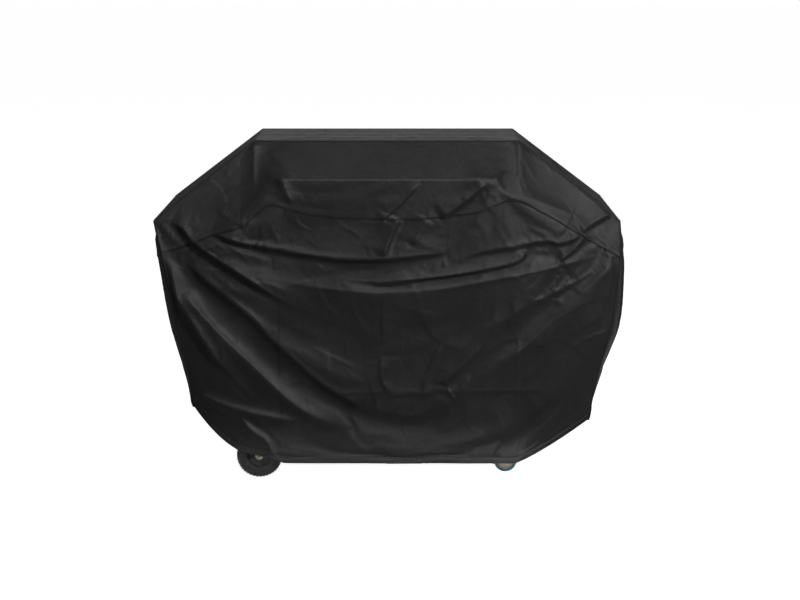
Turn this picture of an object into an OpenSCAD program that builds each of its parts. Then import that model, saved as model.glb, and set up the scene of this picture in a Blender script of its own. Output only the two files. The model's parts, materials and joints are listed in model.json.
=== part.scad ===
// A fitted cloth cover drawn over the wheeled gas grill that gives it its shape.
// Millimetres, +Z up, the grill's front faces -Y. The origin is on the floor under the middle.

/* [Grill body] */
// Width of the hood and firebox
body_w = 856; // [760:1:1000]
// Depth of the hood and firebox at the rim
body_d = 470; // [420:1:560]
// Height of the firebox rim above the floor
rim_z = 865; // [780:1:960]
// Height of the hood above the rim
hood_h = 248; // [190:1:320]
// Depth of the hood's flat top
hood_top_d = 315; // [220:1:340]
// How far the middle of the hood's top lies behind the middle of the grill
hood_top_back = 13; // [0:1:20]
// Radius where the hood's top turns down
hood_bend_r = 60; // [30:1:75]
// Sheet thickness of the hood
hood_wall = 2; // [1:0.5:4]
// Depth of the firebox
firebox_h = 165; // [120:1:220]
// Wall thickness of the firebox
firebox_wall = 3; // [2:0.5:6]

/* [Hood handle] */
// Length of the handle tube
handle_l = 640; // [400:1:700]
// Diameter of the handle tube
handle_d = 25; // [18:0.5:32]
// Height of the handle above the rim
handle_up = 125; // [80:1:160]
// Gap between the handle tube and the hood
handle_gap = 68; // [58:1:80]
// Diameter of a handle post
post_d = 14; // [8:0.5:20]

/* [Side shelves] */
// Length of a side shelf
shelf_l = 305; // [220:1:380]
// Depth of a side shelf, front to back
shelf_d = 470; // [380:1:520]
// Height of a shelf's turned-down edge
shelf_lip = 25; // [15:1:40]
// Sheet thickness of shelves and tray
sheet_wall = 2; // [1:0.5:3]

/* [Control panel] */
// Height of the control panel
panel_h = 110; // [90:1:140]
// Diameter of a knob
knob_d = 46; // [34:1:56]
// How far a knob stands forward
knob_h = 24; // [16:1:30]
// Distance from one knob to the next
knob_pitch = 180; // [100:5:220]
// Diameter of a valve stem
stem_d = 6; // [4:0.5:8]

/* [Cart] */
// Outside width of a leg tube
leg_w = 35; // [28:1:45]
// Wall thickness of a leg tube
leg_wall = 2; // [1:0.5:4]
// Outside width of a rail tube
rail_w = 25; // [20:1:30]
// Height of the bottom tray above the floor
tray_z = 175; // [160:1:260]
// Height of the bottom tray's rim
tray_rim = 20; // [10:1:40]

/* [Wheels] */
// Diameter of a wheel over its tread
wheel_d = 152; // [130:1:180]
// Width of a wheel
wheel_w = 36; // [28:1:44]
// Radial thickness of the tyre
tyre_t = 18; // [12:1:24]
// Depth of the tread
tread_depth = 3; // [1:0.5:5]
// Number of tread lugs round a tyre
lug_count = 40; // [24:2:60]
// Inside diameter of the rim ring
rim_bore_d = 82; // [60:1:90]
// Diameter of the wheel's hub
hub_d = 30; // [22:1:40]
// Number of spokes
spoke_count = 6; // [3:1:9]
// Width of a spoke
spoke_w = 8; // [5:0.5:12]
// Diameter of the axle
axle_d = 10; // [8:0.5:14]
// Length of the spacer between a leg and its wheel
spacer_l = 8; // [4:0.5:12]
// Width of a hub nut across its flats
nut_af = 21; // [17:1:24]

/* [Casters] */
// Diameter of a caster wheel
caster_d = 76; // [60:1:90]
// Width of a caster wheel
caster_w = 24; // [18:1:30]
// Radial thickness of the caster's tyre
caster_tyre_t = 11.5; // [6:0.5:14]
// Diameter of the caster's steel hub
caster_hub_d = 34; // [26:1:36]
// Distance from the swivel axis back to the wheel's axle
caster_trail = 28; // [20:1:34]
// Plate thickness of the caster's fork
fork_t = 2.5; // [2:0.5:4]
// Diameter of the caster's axle bolt
caster_bolt_d = 8; // [6:0.5:10]
// Diameter of the caster's stem
caster_stem_d = 11; // [9:0.5:14]

/* [Cover] */
// Thickness of a cloth panel
cloth_t = 3; // [2:0.5:4]
// Room between the cloth and what it lies on
ease = 3; // [2:0.5:8]
// Height of the front and back hem above the floor
hem_z = 62; // [50:1:90]
// Room between a hub nut and the hem in front of it
hem_room = 22; // [14:1:60]
// Height of the gathered hem at the two ends above the floor
end_hem_z = 228; // [200:1:300]
// Height of the hem band
hem_band = 22; // [14:1:40]
// How far the ends of the cover billow out past the shelves
billow = 30; // [10:1:60]
// How far the gathered ends are drawn in from the widest place
draw_in = 98; // [60:1:130]
// Drop from the cover's top edge to the yoke seam, straight down
yoke_drop = 226; // [180:1:245]
// Drop from the shelf's end to the yoke seam
yoke_end_drop = 98; // [70:1:130]
// Half width of the tape behind a seam
tape_w = 12; // [6:1:20]
// Thickness of the seam tape and of the hem's elastic
tape_t = 1; // [0.5:0.25:2]

/* [Hidden] */

// ---- Places worked out from the sizes above ----
half_w = body_w / 2;
half_d = body_d / 2;
shelf_z = rim_z - 5;
leg_x = half_w;
leg_y = half_d - leg_w / 2;
part_gap = 2;                    // between the tray and the legs beside it
run_gap = 0.05;                  // radial clearance of everything that turns
hood_z = rim_z + hood_h;
rim_seal_t = 4;                  // height of the hood's foot above the firebox
hood_foot_z = rim_z + rim_seal_t;
leg_top_z = hood_foot_z;
hood_lap = 3;                    // how far the hood's foot stands outside the firebox
hood_cap_t = 4;
hood_front = [hood_top_back - hood_top_d / 2, hood_z];
hood_back = [hood_top_back + hood_top_d / 2, hood_z];
hood_foot_front = [-half_d - hood_lap, hood_foot_z];
hood_foot_back = [half_d + hood_lap, hood_foot_z];
handle_z = rim_z + handle_up;
hood_slope = (hood_front.x - hood_foot_front.x) / (hood_front.y - hood_foot_front.y);
hood_y_at_handle = hood_foot_front.x + (handle_z - hood_foot_z) * hood_slope;
handle_y = hood_y_at_handle - handle_gap - handle_d / 2;
post_inset = 40;                 // from the handle's end to a post
post_x = handle_l / 2 - post_inset;

shelf_x0 = leg_x + leg_w / 2;
shelf_x1 = shelf_x0 + shelf_l;

panel_depth = 15;
panel_y = -half_d - panel_depth;
panel_top_z = rim_z - 8;
knob_z = panel_top_z - panel_h / 2 - 5;
knob_gap = 3;
knob_y = panel_y - knob_gap;
knob_front = knob_y - knob_h;
knob_front_t = 8;                // solid front of a knob
stem_reach = knob_h - knob_front_t;
manifold_d = 14;
manifold_y = -half_d + 10;

rail_top_z = rim_z - firebox_h;
tray_x = leg_x - leg_w / 2 - part_gap;
tray_y = leg_y + rail_w / 2;

axle_z = wheel_d / 2;
wheel_y0 = half_d + spacer_l;
wheel_y1 = wheel_y0 + wheel_w;
nut_h = 10;
nut_y1 = wheel_y1 + nut_h;
leg_below_axle = 30;
left_leg_foot_z = axle_z - leg_below_axle;
tyre_in_d = wheel_d - 2 * tyre_t;

caster_top_z = caster_d + 6;     // underside of a fork's plate
caster_cap_z = caster_top_z + fork_t + 0.2;
caster_cap_h = 7;
right_leg_foot_z = caster_cap_z + caster_cap_h;
caster_core_d = caster_d - 2 * caster_tyre_t;
fork_y = caster_w / 2 + 1.5;     // inner face of a fork's side plate

// ---- The cover's shape ----
// EDGE holds the corner seam between the front and an end, from the shelf down to the hem, as
// [x, y, z] for the right rear corner. MIDDLE holds the front's and the back's middle line, as
// [y, z], at the same rows: 0 top edge, 1 ridge over the handle, 2 yoke seam, 6 and 7 hem band.
skin = ease + cloth_t;
top_z = hood_z + cloth_t;         // the top panel rests on the hood
end_x = shelf_x1 + skin;
end_y = shelf_d / 2 + skin + 4;
end_z = shelf_z + skin + 2;
yoke_end_z = end_z - yoke_end_drop;
band_top_z = hem_z + hem_band;
end_band_top_z = end_hem_z + hem_band;
hem_y = nut_y1 + hem_room;

row_drop = [0, 0.17, 0.48, 0.75, 1];     // rows 2 to 6, as shares of the skirt's drop
row_out = [0.47, 1, 1, 1, 1];            // share of billow
row_in = [0, 0, 0.16, 0.54, 1];          // share of draw_in
row_deep = [19, 35, 40, 20, -30];        // how far the seam stands out past the shelf's corner

function lerp(a, b, t) = a + (b - a) * t;
function clamp(t) = min(1, max(0, t));
function smooth(t) = let (c = clamp(t)) c * c * (3 - 2 * c);

SKIRT_EDGE = [for (i = [0:4]) [
    end_x + billow * row_out[i] - draw_in * row_in[i],
    end_y + row_deep[i],
    lerp(yoke_end_z, end_band_top_z, row_drop[i])
]];
HEM_EDGE = [SKIRT_EDGE[4].x, SKIRT_EDGE[4].y, end_hem_z];
EDGE = concat(
    [[end_x, end_y, end_z], [end_x + 6, end_y + 11, (end_z + yoke_end_z) / 2]],
    SKIRT_EDGE,
    [HEM_EDGE]
);

function middle(top_y, ridge, seam_y) = concat(
    [[top_y, top_z], ridge],
    [for (i = [0:4]) [
        lerp(seam_y, sign(seam_y) * hem_y, row_drop[i]),
        lerp(top_z - yoke_drop, band_top_z, row_drop[i])
    ]],
    [[sign(seam_y) * hem_y, hem_z]]
);
front_ridge = [handle_y - handle_d / 2 - skin, handle_z + handle_d / 2];
front_seam_y = min(knob_front - 9, front_ridge.x - 5);
back_seam_y = half_d + 25;
back_ridge = [(hood_back.x + back_seam_y) / 2, top_z - yoke_drop / 2];
FRONT = middle(hood_front.x - 1, front_ridge, front_seam_y);
BACK = middle(hood_back.x + 1, back_ridge, back_seam_y);

// Columns run across a panel, as shares of the half width.
top_share = (half_w + skin) / end_x;
ridge_share = min(top_share * 0.9, (handle_l / 2 + skin) / end_x);
half_columns = concat(
    [for (i = [1:3]) ridge_share * i / 3],
    [for (t = [0, 0.25, 0.5, 0.72, 0.88, 1]) lerp(top_share, 1, t)]
);
flat_share = half_columns[4];    // the hem stays low and straight up to here
COLUMNS = concat([for (i = [len(half_columns) - 1:-1:0]) -half_columns[i]], [0], half_columns);
TOP_COLUMNS = [for (f = COLUMNS) if (abs(f) <= top_share) f];
SHOULDER_COLUMNS = [for (f = COLUMNS) if (f >= top_share) f];
END_COLUMNS = [-1, -0.5, 0, 0.5, 1];

// A point on the front (side -1) or the back (side 1), at column share f and whole row k.
function face_point(side, f, k) =
    let (
        m = side < 0 ? FRONT[k] : BACK[k],
        e = EDGE[k],
        a = abs(f),
        w = k == 0 ? clamp((a - top_share) / (1 - top_share))
          : k == 2 ? smooth((a - top_share) / (1 - top_share))
          : k < 2 ? smooth((a - flat_share) / (1 - flat_share))
          : pow(clamp((a - flat_share) / (1 - flat_share)), 2)
    )
    k == 1 && a > ridge_share
        ? let (
            r = clamp((top_share - a) / (top_share - ridge_share)),
            mean = (face_point(side, f, 0) + face_point(side, f, 2)) / 2
        ) lerp([f * e.x, a < 1 ? mean.y : side * e.y, a < 1 ? mean.z : e.z], [f * e.x, m.x, m.y], r)
        : [f * e.x, lerp(m.x, side * e.y, w), lerp(m.y, e.z, w)];
function between(p, q, r) = lerp(p, q, r - floor(r));
function face_at(side, f, r) = between(face_point(side, f, floor(r)), face_point(side, f, ceil(r)), r);
function end_at(v, r) = let (e = between(EDGE[floor(r)], EDGE[ceil(r)], r)) [e.x, v * e.y, e.z];

function face_grid(side, rows) = [for (r = rows) [for (f = COLUMNS) face_at(side, f, r)]];
function end_grid(rows) = [for (r = rows) [for (v = END_COLUMNS) end_at(v, r)]];
function top_grid(columns) = [for (side = [1, -1]) [for (f = columns) face_point(side, f, 0)]];

// The cloth's surfaces are one shape drawn in towards the middle by a depth.
function drawn_in(p, depth) = [
    p.x * (1 - depth / end_x),
    p.y * (1 - depth / hem_y),
    p.z * (1 - depth / top_z)
];

tape_up = tape_w / (front_ridge.y - top_z + yoke_drop);
tape_down = tape_w / (row_drop[1] * (top_z - yoke_drop - band_top_z));
seam_gap = 0.2;
hem_start = 6 + seam_gap / hem_band;
YOKE_ROWS = [0, 1, 2 - tape_up, 2];
SKIRT_ROWS = [2, 2 + tape_down, 3, 4, 5, 6];
END_ROWS = concat(YOKE_ROWS, [for (i = [1:5]) SKIRT_ROWS[i]]);
HEM_ROWS = [hem_start, 7];
TAPE_ROWS = [2 - tape_up, 2, 2 + tape_down];
ELASTIC_ROWS = [6.3, 6.8];
hem_over = 1;                    // the folded hem stands this far proud of the cloth

// ---- Shared shapes ----
module along_x(x0, x1) translate([x0, 0, 0]) rotate([90, 0, 90]) linear_extrude(x1 - x0) children();
module rod_x(x0, x1, d) translate([x0, 0, 0]) rotate([0, 90, 0]) cylinder(h = x1 - x0, d = d, $fn = 64);
module rod_y(y0, y1, d) translate([0, y0, 0]) rotate([-90, 0, 0]) cylinder(h = y1 - y0, d = d, $fn = 64);
module block(lo, hi) translate(lo) cube(hi - lo);
module both_ways_y() for (side = [-1, 1]) scale([1, side, 1]) children();

// A sheet of cloth as one closed solid between two depths of a grid of points.
module sheet(grid, depth_out, depth_in, flip = false) {
    rows = len(grid);
    cols = len(grid[0]);
    n = rows * cols;
    flat = [for (row = grid) each row];
    points = concat([for (p = flat) drawn_in(p, depth_out)], [for (p = flat) drawn_in(p, depth_in)]);
    function at(i, j) = i * cols + j;
    function rim(p, q) = flat[p].z >= flat[q].z
        ? [[q, p, q + n], [p, p + n, q + n]]
        : [[q, p, p + n], [q, p + n, q + n]];
    skins = [for (i = [0:rows - 2], j = [0:cols - 2]) each
        let (a = at(i, j), b = at(i, j + 1), c = at(i + 1, j + 1), d = at(i + 1, j))
        [[a, b, c], [a, c, d], [a + n, c + n, b + n], [a + n, d + n, c + n]]];
    rims = concat(
        [for (j = [0:cols - 2]) each concat(
            rim(at(0, j), at(0, j + 1)), rim(at(rows - 1, j + 1), at(rows - 1, j)))],
        [for (i = [0:rows - 2]) each concat(
            rim(at(i, cols - 1), at(i + 1, cols - 1)), rim(at(i + 1, 0), at(i, 0)))]
    );
    faces = concat(skins, rims);
    polyhedron(points, flip ? [for (f = faces) [f[2], f[1], f[0]]] : faces);
}

function unit(v) = v / norm(v);
// The points of an arc of radius r that rounds corner p between its neighbours a and b.
function corner(p, a, b, r, n) =
    let (
        u = unit(a - p), v = unit(b - p), half = acos(u * v) / 2,
        c = p + unit(u + v) * r / sin(half),
        s = p + u * r / tan(half) - c, e = p + v * r / tan(half) - c,
        turn = (180 - 2 * half) * sign(cross(s, e))
    )
    [for (i = [0:n]) let (t = turn * i / n) c + [s.x * cos(t) - s.y * sin(t), s.x * sin(t) + s.y * cos(t)]];
function rounded(pts, radii, n = 10) = [for (i = [0:len(pts) - 1]) each (
    radii[i] > 0
        ? corner(pts[i], pts[(i + len(pts) - 1) % len(pts)], pts[(i + 1) % len(pts)], radii[i], n)
        : [pts[i]]
)];

// ---- Cover ----
cloth_colour = [0.12, 0.12, 0.12];
trim_colour = [0.08, 0.08, 0.08];
module cover_top_panel() color(cloth_colour) sheet(top_grid(TOP_COLUMNS), 0, cloth_t);
module cover_right_shoulder() color(cloth_colour) sheet(top_grid(SHOULDER_COLUMNS), 0, cloth_t);
module cover_left_shoulder() mirror([1, 0, 0]) cover_right_shoulder();
module cover_right_side() color(cloth_colour) sheet(end_grid(END_ROWS), 0, cloth_t);
module cover_left_side() mirror([1, 0, 0]) cover_right_side();
module cover_front_yoke() color(cloth_colour) sheet(face_grid(-1, YOKE_ROWS), 0, cloth_t);
module cover_back_yoke() color(cloth_colour) sheet(face_grid(1, YOKE_ROWS), 0, cloth_t, flip = true);
module cover_front_skirt() color(cloth_colour) sheet(face_grid(-1, SKIRT_ROWS), 0, cloth_t);
module cover_back_skirt() color(cloth_colour) sheet(face_grid(1, SKIRT_ROWS), 0, cloth_t, flip = true);
module cover_front_hem() color(trim_colour)
    sheet(face_grid(-1, HEM_ROWS), -hem_over, cloth_t + hem_over);
module cover_back_hem() color(trim_colour)
    sheet(face_grid(1, HEM_ROWS), -hem_over, cloth_t + hem_over, flip = true);
module cover_right_hem() color(trim_colour)
    sheet(end_grid(HEM_ROWS), -hem_over, cloth_t + hem_over);
module cover_left_hem() mirror([1, 0, 0]) cover_right_hem();
module front_yoke_seam_tape() color(trim_colour)
    sheet(face_grid(-1, TAPE_ROWS), cloth_t, cloth_t + tape_t);
module back_yoke_seam_tape() color(trim_colour)
    sheet(face_grid(1, TAPE_ROWS), cloth_t, cloth_t + tape_t, flip = true);
module right_hem_elastic() color(trim_colour)
    sheet(end_grid(ELASTIC_ROWS), cloth_t + hem_over, cloth_t + hem_over + tape_t);
module left_hem_elastic() mirror([1, 0, 0]) right_hem_elastic();

// ---- Hood and firebox ----
enamel = [0.1, 0.1, 0.11];
steel = [0.7, 0.7, 0.72];
module hood_outline(inset) {
    lift = inset > 0 ? 1 : 0;
    polygon(rounded(
        [
            hood_foot_front + [inset, -lift], hood_foot_back + [-inset, -lift],
            hood_back + [-inset, -inset], hood_front + [inset, -inset]
        ],
        [0, 0, hood_bend_r - inset, hood_bend_r - inset]
    ));
}
module hood_shell() color(enamel) along_x(-half_w + hood_cap_t, half_w - hood_cap_t) difference() {
    hood_outline(0);
    hood_outline(hood_wall);
}
module hood_right_cap() color(enamel) along_x(half_w - hood_cap_t, half_w) hood_outline(0);
module hood_left_cap() mirror([1, 0, 0]) hood_right_cap();
module hood_handle() color(steel) translate([0, handle_y, handle_z]) difference() {
    rod_x(-handle_l / 2, handle_l / 2, handle_d);
    rod_x(-handle_l / 2 + 3, handle_l / 2 + 1, handle_d - 4);
}
module handle_posts() color(steel) for (x = [-post_x, post_x]) difference() {
    translate([x, 0, handle_z]) rod_y(handle_y, hood_y_at_handle + 10, post_d);
    translate([0, handle_y, handle_z]) rod_x(-half_w, half_w, handle_d);
    along_x(-half_w, half_w) hood_outline(0);
}
hinge_inset = 60;
hinge_x = half_w - hinge_inset;
hinge_d = 10;
hinge_l = 40;
hinge_y = hood_foot_back.x + hinge_d / 2;
firebox_set_back = 10;
firebox_rim_y = half_d - firebox_set_back;
module hood_hinges() color(steel) for (x = [-hinge_x, hinge_x]) {
    translate([0, hinge_y, hood_foot_z]) rod_x(x - hinge_l / 2, x + hinge_l / 2, hinge_d);
    block(
        [x - hinge_l / 2, firebox_rim_y - firebox_wall, rim_z],
        [x + hinge_l / 2, hinge_y, rim_z + rim_seal_t]
    );
}
firebox_x = leg_x - leg_w / 2;
firebox_foot_share = 0.64;       // the foot's depth as a share of the rim's
firebox_foot_y = half_d * firebox_foot_share;
module firebox() color(enamel) difference() {
    along_x(-firebox_x, firebox_x) polygon([
        [-firebox_rim_y, rim_z], [-firebox_foot_y, rim_z - firebox_h],
        [firebox_foot_y, rim_z - firebox_h], [firebox_rim_y, rim_z]
    ]);
    along_x(-firebox_x + firebox_wall, firebox_x - firebox_wall) polygon([
        [-firebox_rim_y + firebox_wall, rim_z + 1],
        [-firebox_foot_y + firebox_wall, rim_z - firebox_h + firebox_wall],
        [firebox_foot_y - firebox_wall, rim_z - firebox_h + firebox_wall],
        [firebox_rim_y - firebox_wall, rim_z + 1]
    ]);
}

// ---- Shelves ----
module right_shelf() color(steel) difference() {
    block([shelf_x0, -shelf_d / 2, shelf_z - shelf_lip], [shelf_x1, shelf_d / 2, shelf_z]);
    block(
        [shelf_x0 + sheet_wall, -shelf_d / 2 + sheet_wall, shelf_z - shelf_lip - 1],
        [shelf_x1 - sheet_wall, shelf_d / 2 - sheet_wall, shelf_z - sheet_wall]
    );
}
module left_shelf() mirror([1, 0, 0]) right_shelf();
arm_w = 20;
arm_short = 20;                  // from an arm's end to the shelf's edge
arm_y = firebox_foot_y;
module shelf_arms() color(enamel) for (way = [-1, 1], y = [-arm_y, arm_y]) scale([way, 1, 1])
    block(
        [shelf_x0 + sheet_wall, y - arm_w / 2, shelf_z - sheet_wall - arm_w],
        [shelf_x1 - sheet_wall - arm_short, y + arm_w / 2, shelf_z - sheet_wall]
    );

// ---- Control panel, gas and knobs ----
function knob_x(i) = knob_pitch * (i - 1.5);
module control_panel() color(steel) difference() {
    block([-half_w, panel_y, panel_top_z - panel_h], [half_w, -half_d, panel_top_z]);
    block(
        [-half_w + sheet_wall, panel_y + sheet_wall, panel_top_z - panel_h + sheet_wall],
        [half_w - sheet_wall, -half_d + 1, panel_top_z - sheet_wall]
    );
    for (i = [0:3]) translate([knob_x(i), 0, knob_z]) rod_y(panel_y - 1, panel_y + 5, stem_d + 3);
}
module gas_manifold() color(steel) translate([0, manifold_y, knob_z])
    rod_x(-firebox_x + 10, firebox_x - 10, manifold_d);
valve_d = 11;
module gas_valves() color([0.72, 0.55, 0.25]) for (i = [0:3]) difference() {
    translate([knob_x(i), 0, knob_z]) {
        rod_y(panel_y + sheet_wall + 2, manifold_y, valve_d);
        rod_y(knob_y - stem_reach, panel_y + sheet_wall + 2, stem_d);
    }
    translate([0, manifold_y, knob_z]) rod_x(-half_w, half_w, manifold_d);
}
skirt_share = 0.55;              // a knob's wide skirt, as a share of its height
grip_share = 0.72;               // a knob's grip, as a share of its diameter
grip_bar_w = 7;
grip_bar_h = 3;
module knob(i) color([0.09, 0.09, 0.09]) translate([knob_x(i), 0, knob_z]) difference() {
    bar = [grip_bar_w, 0, knob_d * grip_share] / 2;
    union() {
        rod_y(knob_y - knob_h * skirt_share, knob_y, knob_d);
        rod_y(knob_front, knob_y, knob_d * grip_share);
        block([0, knob_front - grip_bar_h, 0] - bar, [0, knob_front + 1, 0] + bar);
    }
    rod_y(knob_y - stem_reach - 1, knob_y + 1, stem_d + 2 * run_gap);
}

// ---- Cart ----
module leg(foot_z, hole) color(enamel) difference() {
    block([-leg_w / 2, -leg_w / 2, foot_z], [leg_w / 2, leg_w / 2, leg_top_z]);
    block(
        [-leg_w / 2 + leg_wall, -leg_w / 2 + leg_wall, foot_z - 1],
        [leg_w / 2 - leg_wall, leg_w / 2 - leg_wall, leg_top_z + 1]
    );
    if (hole) translate([0, 0, axle_z]) rod_y(-leg_w, leg_w, axle_d + 2 * run_gap);
}
module front_left_leg() translate([-leg_x, -leg_y, 0]) leg(left_leg_foot_z, true);
module rear_left_leg() translate([-leg_x, leg_y, 0]) leg(left_leg_foot_z, true);
module front_right_leg() translate([leg_x, -leg_y, 0]) leg(right_leg_foot_z, false);
module rear_right_leg() translate([leg_x, leg_y, 0]) leg(right_leg_foot_z, false);
module tube_block(lo, hi, axis, wall) difference() {
    block(lo, hi);
    grow = [for (k = [0:2]) k == axis ? -1 : wall];
    block(lo + grow, hi - grow);
}
module side_rails() color(enamel) for (x = [-leg_x, leg_x], z = [rail_top_z, tray_z])
    tube_block(
        [x - rail_w / 2, -leg_y + leg_w / 2, z - rail_w], [x + rail_w / 2, leg_y - leg_w / 2, z], 1, leg_wall
    );
module cross_rails() color(enamel) for (y = [-leg_y, leg_y], z = [rail_top_z, tray_z])
    tube_block(
        [-leg_x + leg_w / 2, y - rail_w / 2, z - rail_w], [leg_x - leg_w / 2, y + rail_w / 2, z], 0, leg_wall
    );
module bottom_tray() color(steel) difference() {
    block([-tray_x, -tray_y, tray_z], [tray_x, tray_y, tray_z + tray_rim]);
    block(
        [-tray_x + sheet_wall, -tray_y + sheet_wall, tray_z + sheet_wall],
        [tray_x - sheet_wall, tray_y - sheet_wall, tray_z + tray_rim + 1]
    );
}

// ---- Wheels ----
black_plastic = [0.08, 0.08, 0.085];
module at_axle() translate([-leg_x, 0, axle_z]) children();
module wheel_axle() color(steel) at_axle() rod_y(-nut_y1 + 2, nut_y1 - 2, axle_d);
module axle_spacers() color(steel) at_axle() both_ways_y() difference() {
    rod_y(half_d, wheel_y0 - run_gap, axle_d + 8);
    rod_y(half_d - 1, wheel_y0 + 1, axle_d);
}
module hub_nuts() color([0.72, 0.66, 0.5]) at_axle() both_ways_y() difference() {
    union() {
        rod_y(wheel_y1 + run_gap, wheel_y1 + 2.5, nut_af + 6);
        translate([0, wheel_y1 + 2, 0]) rotate([-90, 0, 0])
            cylinder(h = nut_h - 2, d = nut_af / cos(30), $fn = 6);
    }
    rod_y(wheel_y1 - 1, nut_y1 + 1, axle_d);
}
// The tread is a toothed outline, and its two halves stand half a lug apart.
function tread_outline(turn) = [for (i = [0:lug_count - 1], q = [0:3])
    let (
        a = (i + [0, 0.08, 0.52, 0.60][q] + turn) * 360 / lug_count,
        r = wheel_d / 2 - ([1, 0, 0, 1][q]) * tread_depth
    ) [r * cos(a), r * sin(a)]];
side_groove = 4;                 // depth of the ring pressed into a tyre's side
side_lip = 3;                    // width left on each side of that ring
module tyre() color(black_plastic) translate([0, wheel_y0, 0]) rotate([-90, 0, 0]) difference() {
    union() {
        linear_extrude(wheel_w / 2) polygon(tread_outline(0));
        translate([0, 0, wheel_w / 2]) linear_extrude(wheel_w / 2) polygon(tread_outline(0.5));
    }
    translate([0, 0, -1]) cylinder(h = wheel_w + 2, d = tyre_in_d, $fn = 96);
    for (z = [-1, wheel_w - side_groove]) translate([0, 0, z])
        difference() {
            cylinder(h = side_groove + 1, d = wheel_d - 4 * tread_depth - 2 * side_lip, $fn = 96);
            translate([0, 0, -1]) cylinder(h = side_groove + 3, d = tyre_in_d + 2 * side_lip, $fn = 96);
        }
}
rim_t = (tyre_in_d - rim_bore_d) / 2;
spoke_inset = 6;                 // the spokes stand this far inside the wheel's faces
spoke_sink = 2;                  // and this far into the hub and the rim
rim_web_t = 4;
rim_groove = 3;
module spoked_rim() color(black_plastic) translate([0, wheel_y0, 0]) rotate([-90, 0, 0]) difference() {
    union() {
        difference() {
            cylinder(h = wheel_w, d = tyre_in_d, $fn = 96);
            translate([0, 0, -1]) cylinder(h = wheel_w + 2, d = rim_bore_d, $fn = 96);
        }
        cylinder(h = wheel_w, d = hub_d, $fn = 64);
        for (i = [0:spoke_count - 1]) rotate(90 + i * 360 / spoke_count)
            block(
                [hub_d / 2 - spoke_sink, -spoke_w / 2, spoke_inset],
                [rim_bore_d / 2 + spoke_sink, spoke_w / 2, wheel_w - spoke_inset]
            );
        translate([0, 0, (wheel_w - rim_web_t) / 2])
            cylinder(h = rim_web_t, d = rim_bore_d + rim_t, $fn = 96);
    }
    translate([0, 0, -1]) cylinder(h = wheel_w + 2, d = axle_d + 2 * run_gap, $fn = 64);
    for (z = [-1, wheel_w - rim_groove]) translate([0, 0, z])
        difference() {
            cylinder(h = rim_groove + 1, d = tyre_in_d - 2 * side_lip, $fn = 96);
            translate([0, 0, -1]) cylinder(h = rim_groove + 3, d = rim_bore_d + 2 * side_lip, $fn = 96);
        }
}
module front_wheel_tyre() at_axle() mirror([0, 1, 0]) tyre();
module front_wheel_rim() at_axle() mirror([0, 1, 0]) spoked_rim();
module rear_wheel_tyre() at_axle() tyre();
module rear_wheel_rim() at_axle() spoked_rim();

// ---- Casters ----
zinc = [0.78, 0.79, 0.8];
module at_caster(side) translate([leg_x, side * leg_y, 0]) children();
module caster_wheel_turned() translate([-caster_trail, 0, caster_d / 2]) rotate([90, 0, 0]) children();
stem_head_t = 3.3;
stem_head_gap = 0.2;
plug_gap = 0.1;                  // between the stem's plug and the leg tube around it
plug_h = 30;
fork_nose = 16;                  // the fork's plate reaches this far in front of the stem
fork_tail = 2;                   // and this far behind the wheel's axle
module caster_stems() color(zinc) for (side = [-1, 1]) at_caster(side) {
    translate([0, 0, caster_top_z - stem_head_gap - stem_head_t])
        cylinder(h = stem_head_t, d = caster_stem_d + 6, $fn = 48);
    translate([0, 0, caster_top_z - 1])
        cylinder(h = caster_cap_z - caster_top_z + 2, d = caster_stem_d, $fn = 48);
    translate([0, 0, caster_cap_z]) cylinder(h = caster_cap_h, d = leg_w - 1, $fn = 64);
    in = leg_w / 2 - leg_wall - plug_gap;
    block([-in, -in, right_leg_foot_z - 1], [in, in, right_leg_foot_z + plug_h]);
}
module caster_fork(side) color(zinc) at_caster(side) {
    plate_y = fork_y + fork_t;
    axle_at = [-caster_trail, caster_d / 2];
    difference() {
        union() {
            block(
                [-caster_trail - fork_tail, -plate_y, caster_top_z],
                [fork_nose, plate_y, caster_top_z + fork_t]
            );
            for (y = [-plate_y, fork_y]) translate([0, y, 0]) rotate([-90, 0, 0]) scale([1, -1, 1])
                linear_extrude(fork_t) {
                    translate(axle_at) circle(d = caster_hub_d, $fn = 64);
                    polygon([
                        axle_at - [caster_hub_d / 2, 0], axle_at + [caster_hub_d / 2, 0],
                        [fork_nose, caster_top_z + fork_t / 2],
                        [-caster_trail - fork_tail, caster_top_z + fork_t / 2]
                    ]);
                }
        }
        translate([0, 0, caster_top_z - 1])
            cylinder(h = fork_t + 2, d = caster_stem_d + 2 * run_gap, $fn = 48);
        caster_wheel_turned()
            cylinder(h = 4 * plate_y, d = caster_bolt_d + 2 * run_gap, center = true, $fn = 48);
    }
}
module caster_bolt(side) color(steel) at_caster(side) caster_wheel_turned() {
    plate_y = fork_y + fork_t;
    translate([0, 0, -plate_y - 4]) cylinder(h = 2 * plate_y + 8, d = caster_bolt_d, $fn = 48);
    for (z = [-plate_y - 4, plate_y + 0.1]) translate([0, 0, z])
        cylinder(h = 3.9, d = caster_bolt_d * 1.8, $fn = 6);
}
module caster_tyre(side) color([0.28, 0.4, 0.46]) at_caster(side) caster_wheel_turned()
    rotate_extrude($fn = 96) polygon(rounded(
        [
            [caster_core_d / 2, -caster_w / 2 + 1], [caster_d / 2, -caster_w / 2 + 2],
            [caster_d / 2, caster_w / 2 - 2], [caster_core_d / 2, caster_w / 2 - 1]
        ],
        [0, 5, 5, 0], 6
    ));
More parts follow.
